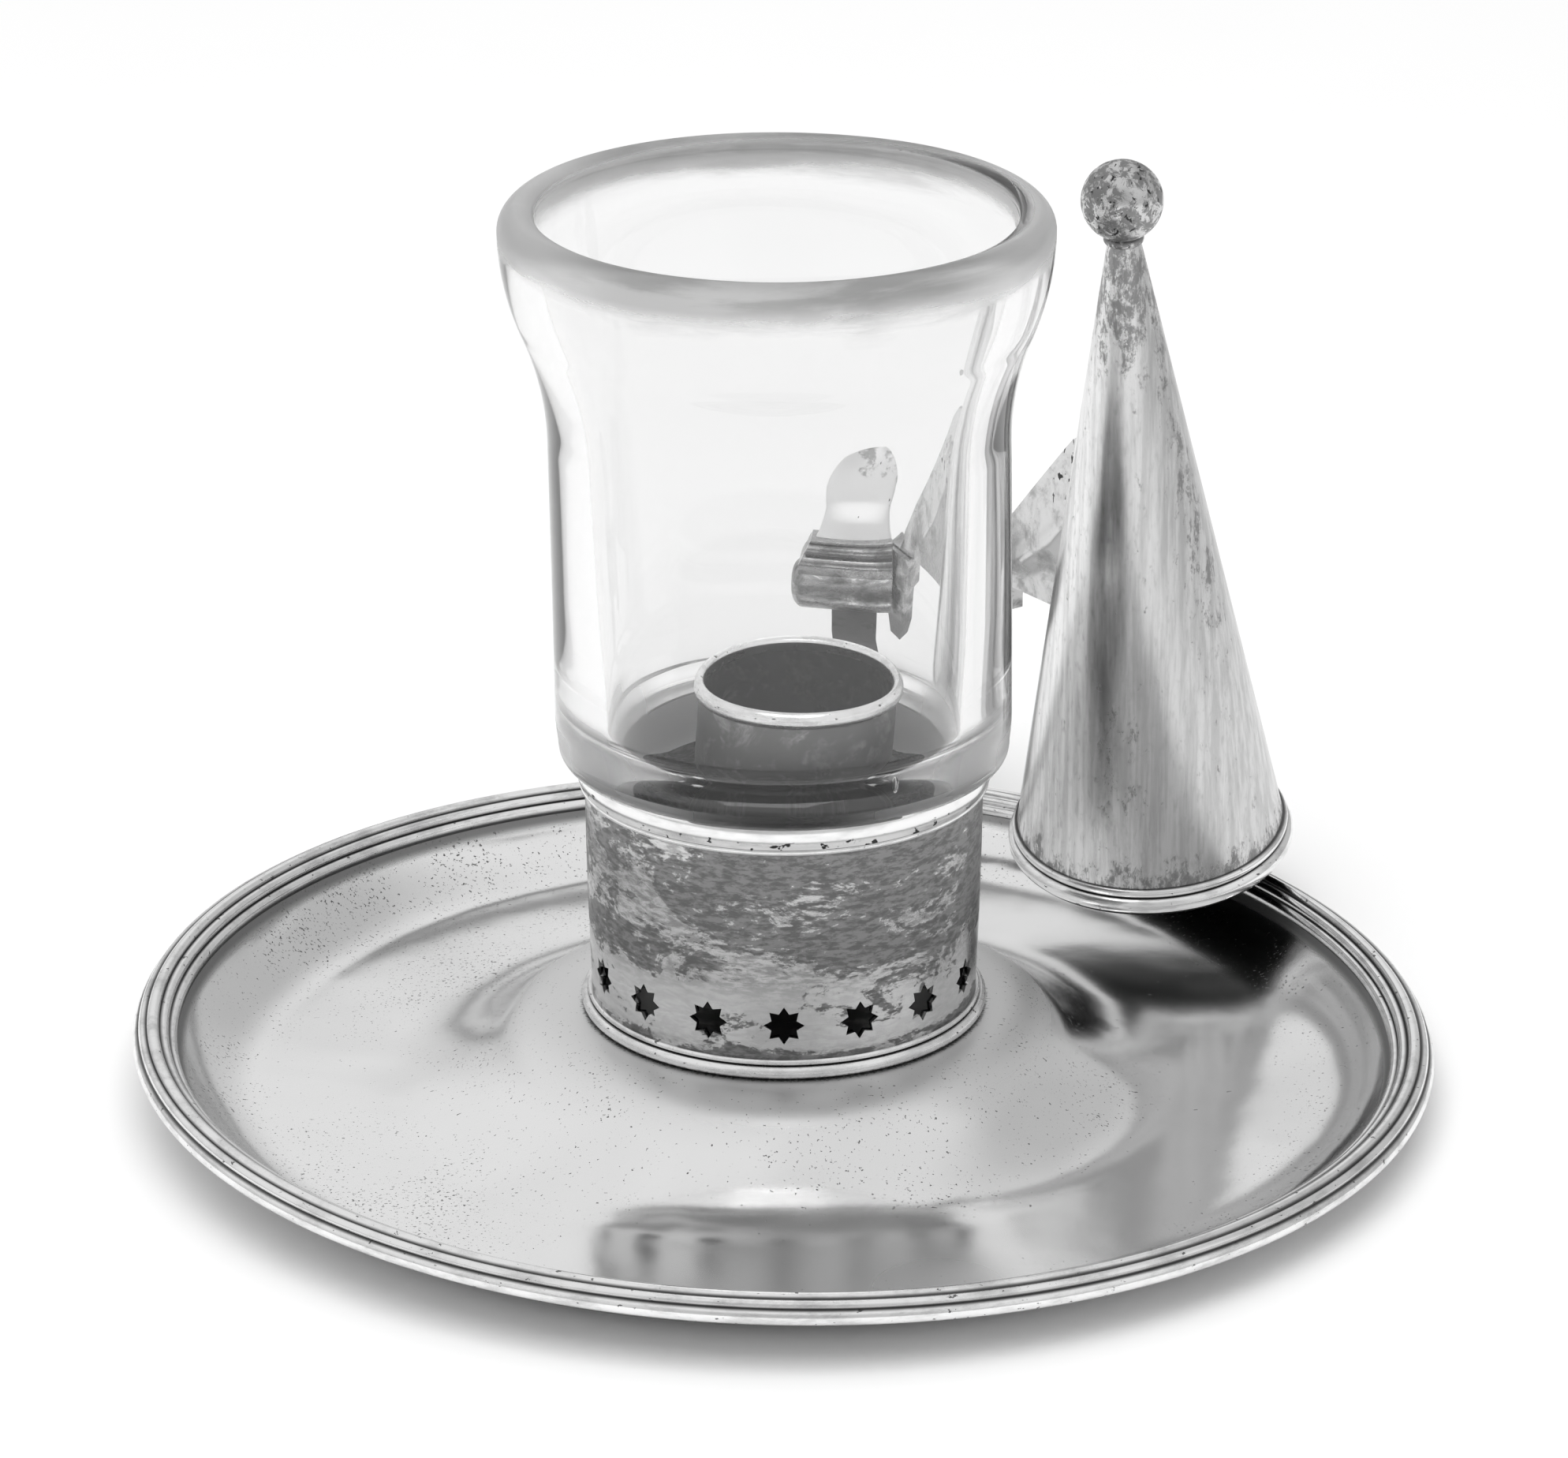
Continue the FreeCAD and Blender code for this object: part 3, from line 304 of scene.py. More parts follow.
def gallery_colour(place, tints):
    """Heavy mottle drawn out round the tube, lighter along the stars, with painted highlights at
    the left and the front middle, painted shade along the top and painted shade, nearly black,
    inside."""
    across, _, height = split(place)
    blots = clouds(stretched(place, (1, 1, 1.7)), 110.0, 10.0, 0.74, 0.5)
    flecks = clouds(stretched(place, (1, 1, 3.0)), 520.0, 6.0, 0.7, 0.2)
    stars = between(height, 0.0125, 0.0145, 0.019, 0.0235)
    # left and middle are painted highlights, lighter patches at the left and the front middle;
    # top is painted shade along the top from the middle to the right.
    left = near(place, (-0.019, -0.014, 0.028), 0.004, 0.018)
    middle = near(place, (-0.002, -0.024, 0.0245), 0.003, 0.012)
    top = rise(height, 0.029, 0.036) * rise(across, -0.014, -0.008)
    lighter = most(stars * 0.115, left * 0.055, middle * 0.05)
    clean = rise(blots * 0.8 + flecks * 0.2 + lighter - top * 0.04, 0.53, 0.563)
    dark = blended(rise(flecks, 0.4, 0.58), 0.17, 0.3)
    bright = blended(rise(flecks, 0.42, 0.6), tints.dull_silver, 0.66)
    bright = blended(stars * 0.75, bright, 0.74)
    # Painted shade, nearly black, on the tube's inside.
    inside = rise(axis_distance(place), 0.0222, 0.022)
    return blended(inside, blended(clean, dark, bright), 0.07), 1.0 - clean


def socket_colour(place, tints):
    """Even dark tarnish with a few paler scratches."""
    share = rise(clouds(place, 180.0, 7.0, 0.7, 0.4), 0.66, 0.5)
    return blended(share, tints.dull_silver, tints.tarnish_and_shade), share


def cone_colour(place, tints):
    """Satin plate streaked along the cone, with a painted highlight down the left and painted
    shade at the upper right, tarnished near the neck, the lap and the wires, and painted shade,
    nearly black, inside."""
    lean_turn = (atan(-CONE_WAY[1]), atan(CONE_WAY[0]), 0)
    streaks = rise(clouds(stretched(place, (1, 1, 0.06), lean_turn), 950.0, 6.0, 0.65),
                   0.38, 0.62)
    brush = clouds(stretched(place, (1, 1, 0.3), lean_turn), 1700.0, 5.0, 0.7)
    blots = clouds(stretched(place, (1, 1, 0.5), lean_turn), 640.0, 9.0, 0.8, 0.2)
    away, radius, height = cone_frame(place)
    across, out, _ = split(away)
    degrees = arithmetic("DEGREES", arithmetic("ARCTAN2", out, across))
    neck = rise(height, 0.058, 0.079)
    right = between(degrees, -68, -40, -34, -12) * rise(height, 0.02, 0.04)
    front = between(degrees, -125, -112, -100, -84) * between(height, 0.008, 0.014, 0.022, 0.034)
    foot = rise(height, 0.0075, 0.0022)
    crowd = most(neck * 0.15, right * 0.105, front * 0.08, foot * 0.15)
    stain = rise(blots - (0.62 - crowd), -0.04, 0.08)
    cosine = across / radius
    # left is a painted highlight down the cone's left side; upper is painted shade on its upper
    # right.
    left = rise(cosine, -0.2, -0.45)
    upper = rise(cosine, 0.1, 0.5) * rise(height, 0.012, 0.05)
    satin = blended(streaks, 0.64, 0.5)
    satin = blended(left, satin, blended(streaks, 0.86, 0.68))
    satin = blended(upper, satin, blended(streaks, 0.5, 0.36))
    satin = blended(rise(brush, 0.5, 0.72) * 0.55, satin, tints.dull_silver)
    # Painted shade, nearly black, on the cone's inside.
    limit = (CONE_EDGE - CONE_SLOPE * CONE_DROP) * MM - height * CONE_SLOPE
    inside = rise(limit - radius, 0.00025, 0.00045)
    colour = blended(stain * 0.75, satin, tints.tarnish_and_shade)
    colour, share = pits_and_painted_shade(colour, stain, inside, tints)
    return colour, most(share, 0.3)


def ball_colour(place, tints):
    """Ball eaten by pits and grey blots."""
    share = rise(clouds(place, 640.0, 8.0, 0.75, 0.4), 0.45, 0.53)
    deep = rise(clouds(place, 1100.0, 3.0, 0.6, 0.5), 0.61, 0.65)
    return pits_and_painted_shade(blended(share, 0.62, 0.27), share, deep, tints)


def handle_colour(place, tints):
    """Grey cast silver with painted shade on the loop, which is dull and even, and blotched above
    it.
    """
    # Painted shade over the loop below the plinth.
    loop = rise(split(place)[2], 0.0305, 0.0285)
    blots = clouds(stretched(place, (0.5, 1, 1.6)), 260.0, 8.0, 0.72, 0.3)
    share = most(rise(blots, 0.4, 0.66), loop * 0.8)
    return blended(share, 0.5, tints.tarnish_and_shade), share


def thumb_colour(place, tints):
    """Pale leaf, softly darker and duller toward its tip and right edge, with a few small pits.
    """
    blots = clouds(place, 300.0, 8.0, 0.72, 0.3)
    tip = near(place, (0.0175, 0.079, 0.0505), 0.002, 0.006)
    edge = near(place, (0.0225, 0.0765, 0.046), 0.001, 0.004)
    share = rise(blots - (0.68 - most(tip, edge) * 0.22), 0.0, 0.1)
    deep = rise(clouds(place, 800.0, 2.0, 0.5), 0.73, 0.75)
    return pits_and_painted_shade(blended(share * 0.6, 0.95, tints.tarnish_and_shade), share, deep, tints)


def wing_colour(place, tints):
    """Satin sheet with a few dark pits near its top."""
    share = rise(clouds(place, 260.0, 8.0, 0.72, 0.3), 0.42, 0.72)
    pits = clouds(stretched(place, (1, 1, 0.6)), 800.0, 3.0, 0.55)
    top = near(place, (0.0375, 0.0535, 0.056), 0.003, 0.009)
    deep = rise(pits - (0.74 - top * 0.14), 0.0, 0.02)
    return pits_and_painted_shade(blended(share, 0.66, tints.dull_silver), share, deep, tints)


def band_colour(place, tints):
    """Bright band with dark pits along its lower half."""
    faint = rise(clouds(stretched(place, (1, 1, 4)), 120.0, 6.0, 0.65), 0.45, 0.7)
    pits = clouds(stretched(place, (1, 1, 1.7)), 620.0, 3.0, 0.55, 0.3)
    low = rise(split(place)[2], 0.0404, 0.0398)
    deep = rise(pits - (0.75 - low * 0.14), 0.0, 0.02)
    share = faint * 0.3
    return pits_and_painted_shade(blended(share, tints.bright_silver, tints.tarnish_and_shade), share, deep, tints)


def wire_colour(place, tints):
    """Drawn wire, bright on its crowns, with faint long streaks and small pits."""
    faint = rise(clouds(stretched(place, (1, 1, 4)), 150.0, 7.0, 0.7), 0.42, 0.7)
    pits = rise(clouds(stretched(place, (1, 1, 2)), 900.0, 3.0, 0.6), 0.66, 0.7)
    share = most(faint * 0.4, pits)
    return blended(share, tints.bright_silver, tints.tarnish_and_shade), share


# Painted shade in the grooves of the rim's reeds and beside the cone's wires: radius, height
# and soft width, mm.
RIM_GROOVE_SHADE = ((70.9, 6.5, 0.4), (71.82, 7.5, 0.32), (72.87, 8.3, 0.42), (74.39, 8.45, 0.4),
               (75.3, 7.75, 0.36))
HEM_GROOVE_SHADE = ((16.77, 1.27, 0.34), (16.52, 2.42, 0.34), (17.25, -0.85, 0.34))


def shade_in_grooves(place, tints, radius, height, grooves, core):
    """Wire with painted shade, nearly black, in its grooves, found by radius and height, each
    with an even core.
    """
    colour, share = wire_colour(place, tints)
    section = output_of("CombineXYZ", radius, 0.0, height)
    # Painted shade, nearly black, in each groove.
    groove_shade = most(*[near(section, (across * MM, 0, up * MM), core, soft * MM)
                  for across, up, soft in grooves])
    return pits_and_painted_shade(colour, share, groove_shade * 0.92, tints)


def rim_colour(place, tints):
    """Reeds like the other wire, with painted shade in their grooves; the height is taken as
    before the wall's droop to the right.
    """
    across, _, up = split(place)
    return shade_in_grooves(place, tints, axis_distance(place), up + across * 0.02, RIM_GROOVE_SHADE,
                   0.00012)


def hem_colour(place, tints):
    """Wires round the cone, with painted shade in the grooves above and below the finer one."""
    _, radius, height = cone_frame(place)
    return shade_in_grooves(place, tints, radius, height, HEM_GROOVE_SHADE, 0.00014)


def plate(name, colour_of, tints, gloss, scratch_stretch=(1, 1, 1), planish=0.25, groove_shade_colour=None):
    """Silver plate.

    Roughness rises with the share of tarnish from the first to the second gloss level, fine
    scratches follow the stretch, broad soft noise stands for the hammered sheet, and narrow
    corners take painted shade in the groove shade colour.
    """
    material, surface, place = blank(name)
    colour, share = colour_of(place, tints)
    scratches = clouds(stretched(place, scratch_stretch), 900.0, 3.0, 0.6)
    planished = clouds(place, 55.0, 2.0, 0.4)
    normal = bumped(planished, planish, 0.0006)
    normal = bumped(scratches, 0.12, 0.00003, Normal=normal)
    normal = bumped(share, 0.15, 0.00003, Normal=normal)
    if groove_shade_colour is not None:
        # Painted shade in narrow corners, found by ambient occlusion.
        colour = blended(crevices(place.tree, 0.001), colour, getattr(tints, groove_shade_colour))
    feed(surface, Base_Color=colour, Metallic=1.0, Normal=normal,
         Roughness=rise(share, 0.0, 1.0, *gloss))
    return material


def clear_glass(name, tints):
    """Thick clear glass with faint waves, ground white where it sits but for the front, with
    paler patches painted as light at the left and right up to its hip, and dulled along its lip,
    where a painted grey, paler at the sides and streaked below the front, stands for the light
    the thick lip turns back.
    """
    material, surface, place = blank(name)
    across, out, height = split(place)
    distance = axis_distance(place)
    waves = clouds(stretched(place, (1, 1, 0.3)), 34.0, 2.0)
    streaks = clouds(stretched(place, (1, 1, 7)), 55.0, 5.0, 0.6, 0.3)
    foot = (rise(height, 0.0425, 0.0419) * rise(distance, 0.0254, 0.0251)
            * rise(out, -0.02, -0.015))
    # Painted light: paler, rougher patches at the left and right from the foot up to the hip.
    seat = rise(height, 0.0475, 0.0455) * between(out, -0.014, -0.008, 0.007, 0.014)
    ground_and_painted_light = most(foot, seat * 0.75)
    # Painted grey along the lip, streaked, paler at the sides and with darker streaks below the
    # front, for the light the thick lip turns back.
    edge = rise(height + streaks * 0.005, 0.1034, 0.107) * rise(distance, 0.0272, 0.0284)
    painted_front_streaks = near(place, (0.0085, -0.0275, 0.1035), 0.001, 0.0045) * rise(streaks, 0.47, 0.53)
    lip = most(edge, painted_front_streaks * 0.4)
    beside = rise(arithmetic("ABSOLUTE", across), 0.016, 0.028)
    stain = blended(rise(streaks, 0.4, 0.62), 0.3, tints.painted_lip_grey)
    stain = blended(beside * 0.7, stain, 0.72)
    feed(surface, Base_Color=blended(lip, tints.glass_tint, stain), IOR=1.5,
         Roughness=ground_and_painted_light * 0.45 + lip * 0.4,
         Transmission_Weight=1.0 - (ground_and_painted_light * 0.45 + lip * 0.55),
         Normal=bumped(waves, 0.35, 0.0006))
    return material


# Plates: name, colour function, roughness clean and tarnished, and what else they need.
PLATES = (
    ("pan", pan_colour, (0.15, 0.42), {"planish": 0.45}),
    # The wire and the handle take painted shade in their narrow corners.
    ("wire", wire_colour, (0.26, 0.42), {"groove_shade_colour": "tarnish_and_shade"}),
    ("rim", rim_colour, (0.16, 0.4), {}),
    ("hem", hem_colour, (0.16, 0.4), {}),
    ("band", band_colour, (0.16, 0.4), {}),
    ("gallery", gallery_colour, (0.22, 0.42), {"scratch_stretch": (1, 1, 8)}),
    ("socket", socket_colour, (0.3, 0.4), {}),
    ("cone", cone_colour, (0.2, 0.42), {"scratch_stretch": (1, 1, 0.05)}),
    ("ball", ball_colour, (0.25, 0.5), {}),
    ("handle", handle_colour, (0.25, 0.45), {"groove_shade_colour": "dark_tarnish_and_shade"}),
    ("thumb", thumb_colour, (0.4, 0.5), {}),
    ("wing", wing_colour, (0.22, 0.45), {}),
)

# Finish of each part of the frame; a part that is not listed takes the handle's.
WORN = {
    "drip_pan": "pan", "reeded_rim": "rim", "glass_shade": "glass",
    "gallery_sleeve": "gallery", "gallery_top_band": "band", "gallery_foot_wire": "wire",
    "gallery_foot_bead": "wire", "gallery_band_bead": "wire",
    "candle_socket": "socket", "socket_rim": "wire", "socket_floor": "socket",
    "socket_foot": "socket", "extinguisher_cone": "cone", "extinguisher_base_bead": "hem",
    "extinguisher_upper_bead": "hem", "finial_collar": "ball", "ball_finial": "ball",
    "thumbpiece": "thumb", "bracket_wing": "wing",
}
FINISHES = {}


class CHAMBERSTICK_OT_finishes(Operator):
    """Mixes the plate and glass finishes and gives each part of the frame its own"""

    bl_idname = "chamberstick.finishes"
    bl_label = "Plate and glass"

    def execute(self, context):
        settings = context.scene.chamberstick_finish
        for name, colour_of, gloss, more in PLATES:
            FINISHES[name] = plate(name + "_plate", colour_of, settings, gloss, **more)
        FINISHES["glass"] = clear_glass("shade_glass", settings)
        for name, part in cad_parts.items():
            part.data.materials.clear()
            part.data.materials.append(FINISHES[WORN.get(name, "handle")])
        return {"FINISHED"}


# Paths: the bulge under which a run counts as straight, and half the turn of an arc's step.
STRAIGHT_BULGE, ARC_TURN = 0.00001, radians(4)

# Points round each turned piece: it looks smooth and stays under 200,000 triangles.
PAN_COLUMNS, SHADE_COLUMNS, SOCKET_COLUMNS = 448, 256, 192
CONE_COLUMNS, WIRE_COLUMNS, BALL_COLUMNS = 360, 320, 128

# Edges sharper than this stay sharp: on turned pieces, and on the leaf and the wing.
SHARP, SHARP_SHEET = radians(38.0), radians(50.0)


def bowed(start, end, bulge=0.0, step=0.6):
    """Points from start up to, not with, the end.

    A straight run for a bulge of zero; otherwise the circle arc whose middle stands bulge times
    the chord to the right of the way: half turn = 2 atan(2 bulge), radius = chord / 2 sin(half).
    """
    start, end = np.asarray(start, float), np.asarray(end, float)
    chord = end - start
    length = hypot(*chord)
    if abs(bulge) < STRAIGHT_BULGE:
        count = max(1, ceil(length / step))
        return start + np.arange(count)[:, None] / count * chord
    half = 2.0 * atan(2.0 * abs(bulge))
    radius = length / (2.0 * sin(half))
    count = max(3, ceil(2.0 * half * radius / step), ceil(half / ARC_TURN))
    angle = half * (2.0 * np.arange(count) / count - 1.0)
    way = chord / length
    right = np.array([way[1], -way[0]]) * copysign(1.0, bulge)
    along = radius * np.sin(angle) + length / 2.0
    out = radius * (np.cos(angle) - cos(half))
    return start + along[:, None] * way + out[:, None] * right


def bulge_of(start, end, radius, side):
    """Bulge of an arc of known radius: (radius - root(radius^2 - chord^2 / 4)) / chord."""
    chord = hypot(end[0] - start[0], end[1] - start[1])
    return side * (radius - sqrt(max(0.0, radius ** 2 - chord ** 2 / 4.0))) / chord


def outline(corners, step=0.6, closed=True):
    """Runs and arcs through corners (across, up) or (across, up, bulge of the next run)."""
    following = list(corners[1:]) + ([corners[0]] if closed else [])
    runs = [bowed(corner[:2], after[:2], corner[2] if len(corner) > 2 else 0.0, step)
            for corner, after in zip(corners, following)]
    if not closed:
        runs.append(np.array([corners[-1][:2]], float))
    return np.concatenate(runs)


def turned(path, count):
    """A path of (radius, height) carried round Z: (r cos a, r sin a, h) for count angles a."""
    angle = np.arange(count) * (2.0 * pi / count)
    radius, height = path[:, 0, None], path[:, 1, None]
    return np.stack([radius * np.cos(angle), radius * np.sin(angle),
                     height + 0.0 * angle], axis=-1)


def skin(points, poles=False):
    """Faces of a grid of rings, each closed on itself; the last ring joins the first, or with
    poles the first and last rings shrink to one point each."""
    rows, columns = points.shape[:2]
    index = np.arange(rows * columns).reshape(rows, columns)
    if poles:
        index[0], index[-1] = index[0, 0], index[-1, 0]
    else:
        index = np.concatenate([index, index[:1]])
    index = np.concatenate([index, index[:, :1]], axis=1)
    faces = np.stack([index[:-1, :-1], index[:-1, 1:], index[1:, 1:], index[1:, :-1]],
                     axis=-1).reshape(-1, 4)
    return points.reshape(-1, 3), faces


def capped(grid):
    """Skin of a grid of rings, shut at both ends by the middles of the first and last rings."""
    first, last = grid[:1].mean(axis=1, keepdims=True), grid[-1:].mean(axis=1, keepdims=True)
    wide = np.ones((1, grid.shape[1], 1))
    return skin(np.concatenate([first * wide, grid, last * wide]), poles=True)


def together(*skins):
    """Several skins as one."""
    starts = np.cumsum([0] + [len(points) for points, _ in skins[:-1]])
    return (np.concatenate([points for points, _ in skins]),
            np.concatenate([faces + start for (_, faces), start in zip(skins, starts)]))


def enclosed(points, faces):
    """Signed volume inside the faces: a sixth of the sum of a . (b x c) over their triangles."""
    corners = points[faces]
    halves = ((0, 1, 2), (0, 2, 3))
    return sum(np.einsum("ij,ij->", corners[:, a], np.cross(corners[:, b], corners[:, c]))
               for a, b, c in halves) / 6.0


def piece(name, body, finish, surface, stands_for, sharp=SHARP):
    """Makes an object at the origin from a skin in millimetres, turns its faces outward, leaves
    out the spare points at poles, shades it smooth but for edges sharper than an angle, and lets
    it ride on a body in place of the frame's parts."""
    points, faces = surface
    if enclosed(points, faces) < 0.0:
        faces = faces[:, ::-1]
    used, flat = np.unique(faces, return_inverse=True)
    faces = flat.reshape(-1, 4)
    points = points[used] * MM
    whole = np.ones(len(faces), bool)
    triangles = []
    for corner in range(4):
        double = whole & (faces[:, corner] == faces[:, (corner + 1) % 4])
        triangles += np.roll(faces[double], -corner, axis=1)[:, 1:].tolist()
        whole &= ~double
    mesh = bpy.data.meshes.new(name)
    mesh.from_pydata(points.tolist(), [], faces[whole].tolist() + triangles)
    mesh.validate()
    mesh.shade_smooth()
    mesh.set_sharp_from_angle(angle=sharp)
    mesh.materials.append(FINISHES[finish])
    made = placed(name, mesh)
    if not mesh.polygons:
        raise RuntimeError("no faces in " + name)
    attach(made, body)
    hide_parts(*stands_for)


def swelled(points, grow):
    """Points moved away from the Z axis by a factor for each."""
    return points * np.stack([grow, grow, np.ones_like(grow)], axis=-1)


def placed(name, content):
    """A new object in the scene that holds a mesh, a lamp or a camera."""
    made = bpy.data.objects.new(name, content)
    bpy.context.scene.collection.objects.link(made)
    return made


def smooth_step(source, low, high):
    """0 below low, 1 above high, 3t^2 - 2t^3 between."""
    t = np.clip((source - low) / (high - low), 0.0, 1.0)
    return t * t * (3.0 - 2.0 * t)


def turn_z(points, degrees, foot=(0.0, 0.0, 0.0)):
    """Points turned about Z by an angle and moved to a foot."""
    turn = radians(degrees)
    matrix = np.array([[cos(turn), -sin(turn), 0.0],
                       [sin(turn), cos(turn), 0.0], [0.0, 0.0, 1.0]])
    return points @ matrix.T + np.array(foot)


def lean(points):
    """Points of the extinguisher's upright frame set on its leaning axis."""
    turn = Vector((0, 0, 1)).rotation_difference(Vector(CONE_WAY).normalized())
    return points @ np.array(turn.to_matrix()).T + np.array(CONE_FOOT)


class ChamberstickStage(PropertyGroup):
    """Table, light and camera."""

    table_level: number_setting(
        "Table level", "How pale the table is", 0.97, 0.0, 1.0, subtype="FACTOR")
    table_glow: number_setting(
        "Table glow", "Level added to the table where it is seen", 0.03, 0.0, 0.18,
        subtype="FACTOR")
    lamp_power: number_setting(
        "Softboxes", "Power of the front softbox in watts", 6.0, 0.0, 60.0)
    camera_place: FloatVectorProperty(
        name="Camera", description="Place of the camera", default=(0.0, -0.6526, 0.3018),
        subtype="TRANSLATION", unit="LENGTH")
    camera_pitch: number_setting(
        "Pitch", "How far the camera looks down", radians(21.55), 0.0, radians(90.0),
        subtype="ANGLE", unit="ROTATION")
    camera_lens: number_setting("Lens", "Focal length in millimetres", 139.95, 1.0, 1000.0)


# Table: half its width, its height, and where its glow grows from the setting to the far level.
TABLE_HALF, TABLE_HEIGHT = 4.0, -0.00004
GLOW_FROM, GLOW_TO, FAR_GLOW = 0.5, 1.6, 0.45

# Tent: grey level at the horizon and from a height up, then the cards in it, each with its
# azimuth, elevation, width, soft edge and grey level.
TENT_LOW, TENT_HIGH, TENT_RISE = 0.6, 0.84, 0.5
TENT_CARDS = (
    (180, 24, 10, 25, 0.55),
    (52, 24, 22, 22, 0.55),
)

# Softboxes: their size, how far along Y they aim as a share of their place, then the place of
# each in metres and its share of the lamp power.
SOFTBOX_SIZE, SOFTBOX_AIM = 0.9, 0.4
SOFTBOXES = (
    ((-0.08, -0.5, 1.05), 1.0),
    ((0.0, 1.1, 1.1), 0.14),
)

# Camera: width of its sensor in millimetres, and how far it sees in metres.
SENSOR_WIDTH, CAMERA_REACH = 36.0, 20.0


def toward(direction, azimuth, elevation, width, edge):
    """Share of the tent that is 1 round a direction and falls to 0 past its width and soft edge;
    all in degrees, with azimuth 0 along +Y and 90 along +X."""
    across, up = radians(azimuth), radians(elevation)
    middle = (sin(across) * cos(up), cos(across) * cos(up), sin(up))
    cosine = vector_step("DOT_PRODUCT", direction, middle, output="Value")
    return rise(arithmetic("ARCCOSINE", cosine), radians(width), radians(width + edge),
                1.0, 0.0)


def seen_by(tree, *kinds):
    """Share that is 1 for light rays of any of some kinds."""
    path = node(tree, "LightPath")
    return most(*[Field(path.outputs["Is %s Ray" % kind]) for kind in kinds])


def make_table(settings):
    """A wide pale card on which the chamberstick stands."""
    material, surface, place = blank("table_card")
    level = settings.table_level
    glow = blended(rise(axis_distance(place), GLOW_FROM, GLOW_TO), settings.table_glow, FAR_GLOW)
    seen = seen_by(place.tree, "Camera", "Glossy", "Transmission")
    feed(surface, Base_Color=blended(clouds(place, 30.0), level, level * 0.99), Roughness=1.0,
         Specular_IOR_Level=0.0, Emission_Color=(1, 1, 1, 1), Emission_Strength=seen * glow)
    mesh = bpy.data.meshes.new("table")
    mesh.from_pydata([(across * TABLE_HALF, out * TABLE_HALF, TABLE_HEIGHT)
                      for across, out in ((-1, -1), (1, -1), (1, 1), (-1, 1))],
                     [], [(0, 1, 2, 3)])
    mesh.materials.append(material)
    table = placed("table", mesh)


def make_tent(scene):
    """A white tent round the table, with a few grey cards in it that only reflections see."""
    world = bpy.data.worlds.new("studio_tent")
    world.use_nodes = True
    tree = world.node_tree
    tree.nodes.clear()
    direction = coordinates(tree, "Generated")
    light = blended(rise(split(direction)[2], 0.0, TENT_RISE), TENT_LOW, TENT_HIGH)
    for *place, level in TENT_CARDS:
        light = blended(toward(direction, *place), light, level)
    light = blended(seen_by(tree, "Camera", "Transmission"), light, 1.0)
    tent = node(tree, "Background")
    feed(tent, Color=light)
    output = node(tree, "OutputWorld")
    tree.links.new(tent.outputs[0], output.inputs["Surface"])
    scene.world = world


def make_softboxes(settings):
    """Two large soft lamps overhead, in front and behind, kept out of the plate's reflections."""
    for index, (place, share) in enumerate(SOFTBOXES):
        lamp = bpy.data.lights.new("softbox_%d" % index, "AREA")
        lamp.shape = "RECTANGLE"
        lamp.size = lamp.size_y = SOFTBOX_SIZE
        lamp.energy = settings.lamp_power * share
        holder = placed(lamp.name, lamp)
        holder.visible_glossy = False
        holder.location = place
        aim = Vector((0.0, SOFTBOX_AIM * place[1], 0.0)) - holder.location
        holder.rotation_euler = aim.to_track_quat("-Z", "Y").to_euler()


class CHAMBERSTICK_OT_stage(Operator):
    """Sets the table, the soft studio light and the camera"""

    bl_idname = "chamberstick.stage"
    bl_label = "Stage"

    def execute(self, context):
        settings = context.scene.chamberstick_stage
        scene = context.scene
        scene.view_settings.view_transform = "Standard"
        make_table(settings)
        make_tent(scene)
        make_softboxes(settings)
        camera = bpy.data.cameras.new("picture_camera")
        camera.sensor_width = SENSOR_WIDTH
        camera.lens = settings.camera_lens
        camera.clip_end = CAMERA_REACH
        holder = placed("picture_camera", camera)
        holder.location = settings.camera_place
        holder.rotation_euler = (radians(90) - settings.camera_pitch, 0.0, 0.0)
        scene.camera = holder
        return {"FINISHED"}


class ChamberstickPan(PropertyGroup):
    """Sizes of the drip pan."""

    droop: number_setting(
        "Droop", "How far the wall is bent down at the right", radians(1.2), 0.0,
        radians(1.4), subtype="ANGLE", unit="ROTATION")


# Radius at which the pan's floor ends and its wall begins.
FLOOR_END = 61.0


